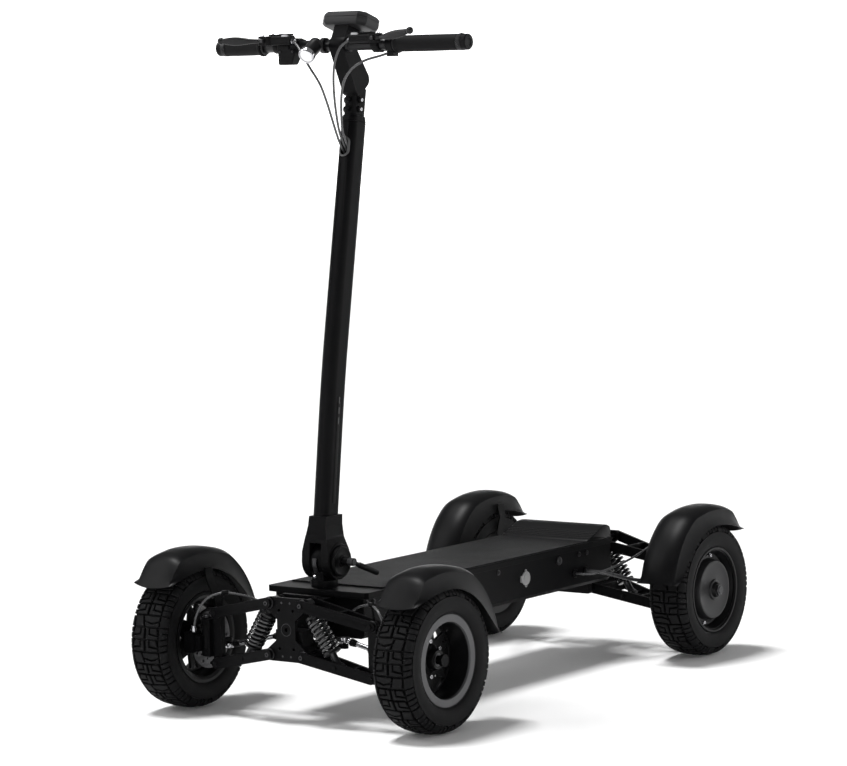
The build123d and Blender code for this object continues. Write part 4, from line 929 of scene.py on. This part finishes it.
def brake_lever(rise):
    """A leaf-shaped blade with a ball at its tip, from its pivot at the origin along +Y."""
    spine = [(0, 0), (5, 10), (12, 23), (16, 36), (18.5, 52), (20, 68), (20.4, 80), (20, 86)]
    half_wide = [5.6, 5.4, 5.2, 4.2, 3.6, 3.6, 4.2, 4.6]
    half_high = [4, 4.1, 5.2, 7.6, 8.8, 7.8, 5.4, 5]
    sides = 20

    def blade(bm):
        rings = []
        for i, (x, y) in enumerate(spine):
            ahead = Vector(spine[min(i + 1, 7)]) - Vector(spine[max(i - 1, 0)])
            ahead.normalize()
            lift = rise * (i / 7) ** 1.5
            ring_points = []
            for k in range(sides):
                turn = 2 * math.pi * k / sides
                across = half_wide[i] * math.copysign(abs(math.cos(turn)) ** 0.8, math.cos(turn))
                up = half_high[i] * math.copysign(abs(math.sin(turn)) ** 0.8, math.sin(turn))
                ring_points.append((x + ahead.y * across, y - ahead.x * across, up + lift))
            rings.append(ring_points)
        skin(bm, rings, close_ends=True)
    ball = lathe([(7.2 * math.sin(math.radians(a)), 7.2 * math.cos(math.radians(a))) for a in range(-90, 91,
                                                                                                    15)],
                 28, closed=False)
    eye = lathe([(-4, 3), (-4, 7), (-3.2, 7.8), (3.2, 7.8), (4, 7), (4, 3)], 36)
    return joined(to_mesh(blade, angle=50), moved(ball, at(20, 88, rise)),
                  moved(eye, facing((0, 0, 0), (0, 0, 1))))


def brake_levers():
    for side, y_sign, rise in (("left", 1, 12), ("right", -1, 2)):
        place = PIVOTS[side]
        spot = at(place.x, place.y, place.z) @ corner_flip(1, y_sign)
        body = side + "_brake_lever"
        blade = piece(body + "_blade", moved(brake_lever(rise), spot), body, "lever_alloy", ANODISED, body)
        blade.modifiers.new("smooth", "SUBSURF").levels = 1
        pin = bolts([((0, 0, 9), (0, 0, 1))], 4, 2.6)
        piece(side + "_lever_pin", moved(pin, spot), "column", "fitting_metal", STEEL)


def bar_details():
    """Reservoirs, clamp screws, hose ends and reach screws on the brake bodies, and the throttle's rings."""
    for side, y_sign, pivot_y, band_y in (("left", 1, 112, 90), ("right", -1, 172, 106)):
        flip = corner_flip(1, y_sign)
        tank = rounded_box((15, 19, 15), 3.4)
        wedge = moved(tank, at(367.4, pivot_y - 57, 1317))
        lid = moved(rounded_box((17, 34, 3), 1.2), at(365.5, pivot_y - 34, 1322.6))
        piece(side + "_reservoir", moved(wedge, flip), "column", "fitting_metal", CAST)
        piece(side + "_reservoir_lid", moved(lid, flip), "column", "moulded_black", SATIN)
        lid_screws = bolts([((365.5, pivot_y - 46, 1324), (0, 0, 1)),
                            ((365.5, pivot_y - 22, 1324), (0, 0, 1))],
                           2.2, 1.6)
        piece(side + "_lid_screws", moved(lid_screws, flip), "column", "fitting_metal", DARK_STEEL)
        cap = moved(rounded_box((9, 15, 27), 2), at(BAR_X - 13.5, band_y, BAR_Z))
        piece(side + "_clamp_cap", moved(cap, flip), "column", "moulded_black", SATIN)
        clamp_screws = bolts([((BAR_X - 17.5, band_y, BAR_Z + s * 9.5), (-1, 0, 0)) for s in (-1, 1)], 2.8,
                             3)
        piece(side + "_clamp_screws", moved(clamp_screws, flip), "column", "fitting_metal", STEEL)
        nut = moved(lathe([(0, 2.6), (0, 4.4), (5, 4.4), (6, 5.6), (10, 5.6), (10, 2.6)], 6, angle=20),
                    facing((366, pivot_y - 76, 1310), (0, 1, 0)))
        piece(side + "_hose_nut", moved(nut, flip), "column", "fitting_metal", STEEL)
        reach = moved(lathe([(0, 0), (0, 3.8), (5, 3.8), (6, 3), (6, 0)], 16, closed=False),
                      facing((381, pivot_y - 9, 1312), (1, 0.2, 0)))
        piece(side + "_reach_screw", moved(reach, flip), "column", "fitting_metal", DARK_STEEL)
    pod = moved(lathe([(-14, 11.2), (-14, 17), (-12.4, 18.4), (12.4, 18.4), (14, 17), (14, 11.2)], 56),
                at(BAR_X, -130, BAR_Z - 1))
    piece("throttle_housing", pod, "column", "moulded_black", SATIN)
    hopper = to_mesh(lambda bm: skin(bm, [
        [(BAR_X + 17, -144, 1296), (BAR_X + 17, -101, 1296), (BAR_X - 9, -101, 1296),
         (BAR_X - 9, -144, 1296)],
        [(BAR_X + 18, -143, 1282), (BAR_X + 18, -103, 1282), (BAR_X - 9, -103, 1282),
         (BAR_X - 9, -143, 1282)],
        [(BAR_X + 15, -136, 1264), (BAR_X + 15, -112, 1264), (BAR_X - 7, -112, 1264),
         (BAR_X - 7, -136, 1264)]],
        close_ends=True))
    pod_low = piece("throttle_pod_shell", hopper, "column", "moulded_black", SATIN)
    round_edges(pod_low, 2.2, 3)
    screws = bolts([((BAR_X + 17.4, -138, 1290), (1, 0, 0)), ((BAR_X + 17.4, -107, 1290), (1, 0, 0))], 2.2,
                   2)
    piece("throttle_screws", screws, "column", "fitting_metal", DARK_STEEL)
    switch = moved(lathe([(115, 11.2), (115, 16), (116, 17), (130, 17), (131, 16), (131, 11.2)], 48),
                   at(BAR_X, 0, BAR_Z))
    piece("switch_housing", switch, "column", "moulded_black", SATIN)
    keys = joined(moved(rounded_box((5, 9, 6), 1), at(BAR_X - 15, 123, BAR_Z + 6)),
                  moved(rounded_box((5, 9, 6), 1), at(BAR_X - 16, 123, BAR_Z - 3)))
    piece("switch_keys", keys, "column", "moulded_black", CAP_GREY)


# ------------------------------------------------------------------ column
LEAN_LOW = math.radians(7.41)
LEAN_HIGH = math.radians(10.04)
BEND = Vector((396.4, 0, 657))
TUBE_DEPTH, TUBE_WIDTH, TUBE_CORNER = 50, 36, 14


def column_frame(z):
    """The place and turn of the column's centre line at height z: X forward, Z up along the column."""
    lean = LEAN_LOW if z < BEND.z else LEAN_HIGH
    x = BEND.x - (z - BEND.z) * math.tan(lean)
    return at(x, 0, z) @ Matrix.Rotation(-lean, 4, "Y")


def column_details():
    def stadium(length, width):
        reach = (length - width) / 2
        return arc((0, reach), width / 2, 0, 180, 14) + arc((0, -reach), width / 2, 180, 360, 14)
    flat = plate([stadium(41, 25), stadium(33, 17)], 2.4, 0.8)
    flat_half = TUBE_WIDTH / 2 - TUBE_CORNER
    for vertex in flat.vertices:
        past = max(0.0, abs(vertex.co.x) / MM - flat_half)
        vertex.co.z -= (TUBE_CORNER - math.sqrt(TUBE_CORNER ** 2 - past ** 2)) * MM
    ring_spot = column_frame(1100) @ at(TUBE_DEPTH / 2 + 0.3, 0, 0) @ ALONG_X
    piece("port_ring", moved(flat, ring_spot), "column", "fitting_metal", MARK_GREY)
    for side, y_sign in SIDES:
        spot = corner_flip(1, y_sign) @ column_frame(512) @ at(0, TUBE_WIDTH / 2, 0)
        piece(side + "_trim_strip", moved(rounded_box((9, 1.8, 196), 0.7), spot), "column", "moulded_black",
              SATIN)
        dashes = joined(*[moved(rounded_box((2.2, 2.6, 13), 0.6), at(0, 0, 62 + 20 * i)) for i in range(3)])
        piece(side + "_trim_dashes", moved(dashes, spot), "column", "fitting_metal", MARK_GREY)
        seats = [((6, 19.2, 0), (0, 1, 0))]
        for i, z in enumerate((1174, 1192)):
            boss = moved(bolts(seats, 3.4, 2.2), corner_flip(1, y_sign) @ column_frame(z))
            piece(f"{side}_clamp_bolt_{i + 1}", boss, "column", "fitting_metal", STEEL)


def hinge_details():
    """Clamp disc's rim and bolt, the handle's sleeve, the safety latch, and the barrel's caps."""
    hinge = pivot("column_fold")
    disc = lathe([(38.6, 9), (38.6, 29), (39.6, 28.4), (40, 26.5), (39.4, 25.6), (39.4, 12), (41.6, 10.6),
                  (41.6, 9)], 72)
    piece("clamp_disc_face", moved(disc, at(hinge.x, 0, hinge.z)), "fold_lever", "painted_frame", SATIN)
    knob = lathe([(60, 0), (68.8, 0.2), (68.8, 6.2), (67.6, 7.8), (56, 7.9), (55, 7)], 36, closed=False)
    piece("clamp_knob", moved(knob, at(hinge.x, 0, hinge.z)), "fold_lever", "fitting_metal", DARK_STEEL)
    handle_y = 61.8
    start = Vector((hinge.x - 22, handle_y, hinge.z - 8.4))
    stop = Vector((hinge.x - 82, handle_y, hinge.z - 31.4))
    sleeve = tube([start, start + (stop - start) * 0.05, start + (stop - start) * 0.94, stop],
                  lambda share: 4.8 if share in (0, 1) else 5.8, sides=24)
    piece("clamp_handle_sleeve", sleeve, "fold_lever", "grip_rubber", SOFT_GRIP)
    for label, y_sign in SIDES:
        cheek = lathe([(32.2, 20), (32.2, 34.6), (33.2, 34), (33.4, 31), (33, 30)], 64)
        piece(label + "_barrel_ring", moved(cheek, corner_flip(1, y_sign) @ at(hinge.x, 0, hinge.z)),
              "column",
              "painted_frame", SATIN)

    def latch(bm):
        rings = []
        for degrees in range(-34, 16, 5):
            a = math.radians(degrees)
            rings.append([(hinge.x + r * math.cos(a), y, hinge.z + r * math.sin(a))
                          for r, y in ((36.3, -4.5), (39.4, -4.5), (39.4, 4.5), (36.3, 4.5))])
        skin(bm, rings, close_ends=True)
    clasp = piece("safety_latch", to_mesh(latch), "steering_post", "fitting_metal", DARK_STEEL)
    round_edges(clasp, 0.8, 2)
    pins = bolts([((hinge.x + 36.5, 0, hinge.z - 28), (0.8, 0, -0.6))], 4, 3)
    piece("latch_pin", pins, "steering_post", "fitting_metal", STEEL)


# ------------------------------------------------------------------ deck and chassis
RIBBED = 0.62


def kick_pad():
    """A ribbed ramp with a smooth rounded top, swept across the deck with rounded ends."""
    low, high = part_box("kick_pad")
    rear, foot, base, top = low.x / MM, high.x / MM, low.z / MM, high.z / MM
    half = high.y / MM
    ribs = 5
    profile = [(foot, base), (foot - 1, base + 2)]
    ramp_start, ramp_stop = (foot - 7, base + 4), (rear + 34, top - 3)
    steps = 130
    for i in range(steps + 1):
        share = i / steps
        x = ramp_start[0] + (ramp_stop[0] - ramp_start[0]) * share
        z = ramp_start[1] + (ramp_stop[1] - ramp_start[1]) * share
        wave = 0.5 - 0.5 * math.cos(2 * math.pi * ribs * share / RIBBED) if share < RIBBED else 0.0
        profile.append((x, z + 0.9 - 3 * wave ** 2))
    profile += [(rear + 27, top - 1), (rear + 18, top), (rear + 10, top - 0.8), (rear + 3.6, top - 4),
                (rear + 0.6, top - 9), (rear, top - 14), (rear, base)]
    centre = Vector(((foot + rear) / 2, base))
    ends = [(half, 0.93), (half - 1.2, 0.965), (half - 3.5, 0.988), (half - 7, 1.0)]
    spans = [(-y, share) for y, share in ends] + [(y, share) for y, share in reversed(ends)]

    def build(bm):
        rings = [[(centre.x + (x - centre.x) * share, y, base + (z - base) * share) for x, z in profile]
                 for y, share in spans]
        skin(bm, rings, close_ends=True)
    piece("kick_pad_moulding", to_mesh(build, angle=50), "chassis", "moulded_black", SATIN, "kick_pad")


def side_fittings():
    side = 107.2
    screw_xs = (426, 448, -1, -300, -330)
    screws = bolts([((x, side, 228), (0, 1, 0)) for x in screw_xs], 3.8, 3, washer=5.6)
    gasket = lathe([(0, 4.2), (0, 8.6), (1, 9.2), (3.2, 9.2), (4.4, 8), (4.4, 4.2)], 36)
    for label, y_sign in SIDES:
        flip = corner_flip(1, y_sign)
        stands_for = ["side_fittings"] if label == "left" else []
        piece(label + "_side_screws", moved(screws, flip), "chassis", "fitting_metal", DARK_STEEL,
              *stands_for)
        seats = joined(*[moved(gasket, at(x, side, 190)) for x in (-281, -323)])
        piece(label + "_lead_grommets", moved(seats, flip), "chassis", "moulded_black", SATIN)
    cap = lathe([(0, 0), (0, 14), (1, 14.4), (2.4, 14.2), (3, 13), (3.2, 10.6), (4.4, 10.2), (4.8, 9),
                 (4.8, 0)], 48,
                closed=False)
    flange = plate([arc((0, 15), 3.8, 10, 170, 6) + arc((0, 0), 14.6, 100, 260, 12) + arc((0, -15), 3.8,
                                                                                          190, 350, 6)
                    + arc((0, 0), 14.6, -80, 80, 12), ring(1.8, 10, (0, 15)), ring(1.8, 10, (0, -15))], 2,
                   0.4)
    hinge = moved(rounded_box((6, 5, 14), 1.2), at(16.5, 1.4, 0))
    port = joined(cap, moved(flange, at(0, 1, 0) @ ALONG_Y), hinge)
    piece("charge_cap", moved(port, at(-98, side, 204)), "chassis", "moulded_black", CAP_GREY)
    rim = lathe([(0, 3), (0, 8.4), (1, 9), (3, 8.6), (3.6, 7.4), (3.6, 3)], 40)
    piece("key_ring", moved(rim, at(-222, side, 224)), "chassis", "fitting_metal", DARK_STEEL)
    core = joined(moved(lathe([(0, 0), (3.2, 0.1), (3.2, 7.2), (0, 7.2)], 32, closed=False),
                        at(-222, side, 224)),
                  moved(rounded_box((1.6, 1, 7), 0.3), at(-222, side + 3.4, 224)))
    piece("key_barrel", core, "chassis", "fitting_metal", DARK_STEEL)


# ------------------------------------------------------------------ suspension fittings
def tower_details():
    face = 565
    low = pivot("front_left_lower_pivot").z
    high = pivot("front_left_suspension").z
    mid = (low + high) / 2
    mark = moved(plate([ring(12.4, 64), ring(11.2, 64)], 1.0, 0.3), at(face + 0.1, 0, mid) @ ALONG_X)
    piece("tower_ring", mark, "chassis", "painted_frame", DARK_STEEL)
    small = lathe([(-0.5, 0), (0.3, 0.1), (0.3, 2.2), (-0.5, 2.2)], 20, closed=False)
    dots = joined(*[moved(small, facing((face, y, z), (1, 0, 0)))
                    for y in (-10, 10) for z in (low - 2, high + 2)])
    piece("tower_plugs", dots, "chassis", "fitting_metal", DARK_STEEL)


BOOT_START = 17


def corner_details():
    """Pivot bolts, collars, caliper bolts, kingpin bolts, tie rod boots and tie rod nuts."""
    collar = lathe([(0, 5), (0, 10.6), (0.6, 11.2), (2.4, 11.2), (3, 10.6), (3, 5)], 40)
    for end, side, x_sign, y_sign in CORNERS:
        name = f"{end}_{side}_"
        flip = corner_flip(x_sign, y_sign)
        high = pivot(name + "suspension")
        low = pivot(name + "lower_pivot")
        drop = pivot(name + "outer_pivot") - high
        reach = abs(drop.y)
        inner_y = abs(high.y)
        far_in, far_out = (575, 552) if end == "front" else (556, 521)
        for label, at_z, body in (("upper", high.z, name + "upper_arm"),
                                  ("lower", low.z, name + "lower_arm")):
            seats = [((far_in, inner_y, at_z), (1, 0, 0)),
                     ((far_out, inner_y + reach, at_z + drop.z), (1, 0, 0))]
            piece(name + label + "_arm_bolts", moved(bolts(seats, 4.4, 1.6, washer=0), flip), body,
                  "fitting_metal",
                  DARK_STEEL)
            rings = joined(moved(collar, facing((far_in - 10.2, inner_y, at_z), (1, 0, 0))),
                           moved(collar,
                                 facing((far_out - 10.4, inner_y + reach, at_z + drop.z), (1, 0, 0))))
            piece(name + label + "_arm_collars", moved(rings, flip), body, "fitting_metal", DARK_STEEL)
        if end == "front":
            x = AXLE_X
            seats = [((x + 50, 232.6, 130), (0, -1, 0)), ((x + 50, 232.6, 152), (0, -1, 0))]
            piece(name + "caliper_bolts", moved(bolts(seats, 3.6, 4, washer=5), flip), name + "knuckle",
                  "fitting_metal", STEEL)
            seats = [((537.5, 218, 190), (0, 0, 1))]
            piece(name + "kingpin_bolt", moved(bolts(seats, 7, 4, washer=9), flip), name + "upright",
                  "fitting_metal", DARK_STEEL)
            start = pivot(name + "tie_rod_pivot")
            start.y = abs(start.y)
            way = Vector((0, reach, drop.z)).normalized()
            boot = lathe([(0, 5), (0, 7.4), (2.4, 7.8), (4, 6.6), (5.4, 7.6), (7, 6.4), (8.6, 7.2), (10, 6),
                          (12, 6.6),
                          (15, 5.4), (15, 5)], 32)
            nut = lathe([(0, 5), (0, 8.6), (1, 9.2), (7, 9.2), (8, 8.6), (8, 5)], 6, angle=20)
            span = way.dot(Vector((0, reach, drop.z)))
            rubber = joined(moved(boot, facing(start + way * BOOT_START, way)),
                            moved(boot, facing(start + way * (span - BOOT_START), -way)))
            piece(name + "tie_rod_boots", moved(rubber, flip), name + "tie_rod", "moulded_black", SATIN)
            piece(name + "tie_rod_nut", moved(joined(moved(nut, facing(start + way * 62, way))), flip),
                  name + "tie_rod", "fitting_metal", DARK_STEEL)


# ------------------------------------------------------------------ stage, light and camera
CAMERA_AT = (5.80678, 4.11579, 1.25271)
CAMERA_YAW = 215.779
CAMERA_PITCH = 5.138
CAMERA_ROLL = -1.3137
CAMERA_LENS = 148.97


def camera():
    yaw, pitch, roll = (math.radians(v) for v in (CAMERA_YAW, CAMERA_PITCH, CAMERA_ROLL))
    ahead = Vector((math.cos(yaw) * math.cos(pitch), math.sin(yaw) * math.cos(pitch), -math.sin(pitch)))
    right = Vector((math.sin(yaw), -math.cos(yaw), 0))
    up = right.cross(ahead)
    x_axis = right * math.cos(roll) + up * math.sin(roll)
    y_axis = up * math.cos(roll) - right * math.sin(roll)
    data = bpy.data.cameras.new("camera")
    data.lens = CAMERA_LENS
    data.sensor_width = 36
    data.clip_end = 100
    thing = bpy.data.objects.new("camera", data)
    thing.matrix_world = Matrix((x_axis, y_axis, -ahead)).transposed().to_4x4()
    thing.location = CAMERA_AT
    bpy.context.scene.collection.objects.link(thing)
    bpy.context.scene.camera = thing


def area_light(name, place, target, size, power, size_y=None):
    data = bpy.data.lights.new(name, "AREA")
    data.energy = power
    data.shape = "RECTANGLE"
    data.size = size
    data.size_y = size_y or size
    thing = bpy.data.objects.new(name, data)
    thing.location = place
    thing.rotation_mode = "QUATERNION"
    thing.rotation_quaternion = (Vector(target) - Vector(place)).to_track_quat("-Z", "Y")
    bpy.context.scene.collection.objects.link(thing)


def sun_light(name, towards, strength, softness):
    data = bpy.data.lights.new(name, "SUN")
    data.energy = strength
    data.angle = math.radians(softness)
    thing = bpy.data.objects.new(name, data)
    thing.rotation_mode = "QUATERNION"
    thing.rotation_quaternion = Vector(towards).to_track_quat("Z", "Y")
    bpy.context.scene.collection.objects.link(thing)


def studio():
    world = bpy.data.worlds.new("studio")
    world.use_nodes = True
    world.node_tree.nodes["Background"].inputs["Color"].default_value = (1, 1, 1, 1)
    world.node_tree.nodes["Background"].inputs["Strength"].default_value = 0.22
    bpy.context.scene.world = world
    bpy.context.scene.view_settings.view_transform = "Standard"
    reach, rise = 30000, 7000
    turns = [2 * math.pi * i / 72 for i in range(73)]
    floor_mesh = to_mesh(lambda bm: skin(bm, [[(reach * math.cos(a), reach * math.sin(a), 0), (0, 0, 0)]
                                              for a in turns], close_ring=False))
    wall_mesh = to_mesh(lambda bm: skin(bm,
                                        [[(reach * math.cos(a), reach * math.sin(a), z) for z in (-100,
                                                                                                  rise)]
                                             for a in turns], close_ring=False))
    floor_mesh.materials.append(finish("floor_white", (0.95, 0.95, 0.95), 0.7, vary=0.01, bump=0.0,
                                       specular=0.05))
    wall_white = finish("backdrop_white", (0.9, 0.9, 0.9), 0.9, vary=0.01, bump=0.0, specular=0.0)
    glow = wall_white.node_tree.nodes["Principled BSDF"].inputs
    glow["Emission Color"].default_value = (1, 1, 1, 1)
    glow["Emission Strength"].default_value = 0.9
    wall_mesh.materials.append(wall_white)
    for name, mesh in (("floor", floor_mesh), ("backdrop", wall_mesh)):
        thing = bpy.data.objects.new(name, mesh)
        bpy.context.scene.collection.objects.link(thing)
        thing.visible_shadow = name == "floor"
    sun_light("sun", (0.12, -0.42, 1.5), 2.95, 16)
    area_light("key", (2.6, -3.4, 3.6), (0.2, 0, 0.3), 2.2, 60)
    area_light("rim_left", (-1.5, 5.0, 2.4), (0, 0, 0.5), 2.4, 26)


def main():
    camera()
    studio()
    dress(POWDER, "chassis_box", "deck_plate", "suspension_towers", "steering_post", "steering_link",
          "column_yoke",
          "column_tube", "gooseneck", "fold_lever", edge=0.8)
    dress(GRIP_SHEET, "grip_mat")
    dress(SATIN, "bar_controls", "throttle_paddle", edge=1.0)
    dress(CELLS, "battery_and_controller")
    dress(ANODISED, "handlebar")
    for end, side, _, _ in CORNERS:
        name = f"{end}_{side}_"
        dress(POWDER, name + "upper_arm", name + "lower_arm", name + "upright")
        dress(ANODISED, name + "shock_body")
        dress(DARK_STEEL, name + "shock_rod", edge=0.4)
        if end == "front":
            dress(POWDER, name + "knuckle")
            dress(STEEL, name + "tie_rod", edge=0.4)
    control_cables()
    wheel_cables()
    display()
    headlight()
    grips()
    brake_levers()
    bar_details()
    column_details()
    hinge_details()
    kick_pad()
    side_fittings()
    tower_details()
    corner_details()
    tyres()
    front_wheels()
    rear_wheels()
    fenders()
    springs()


main()
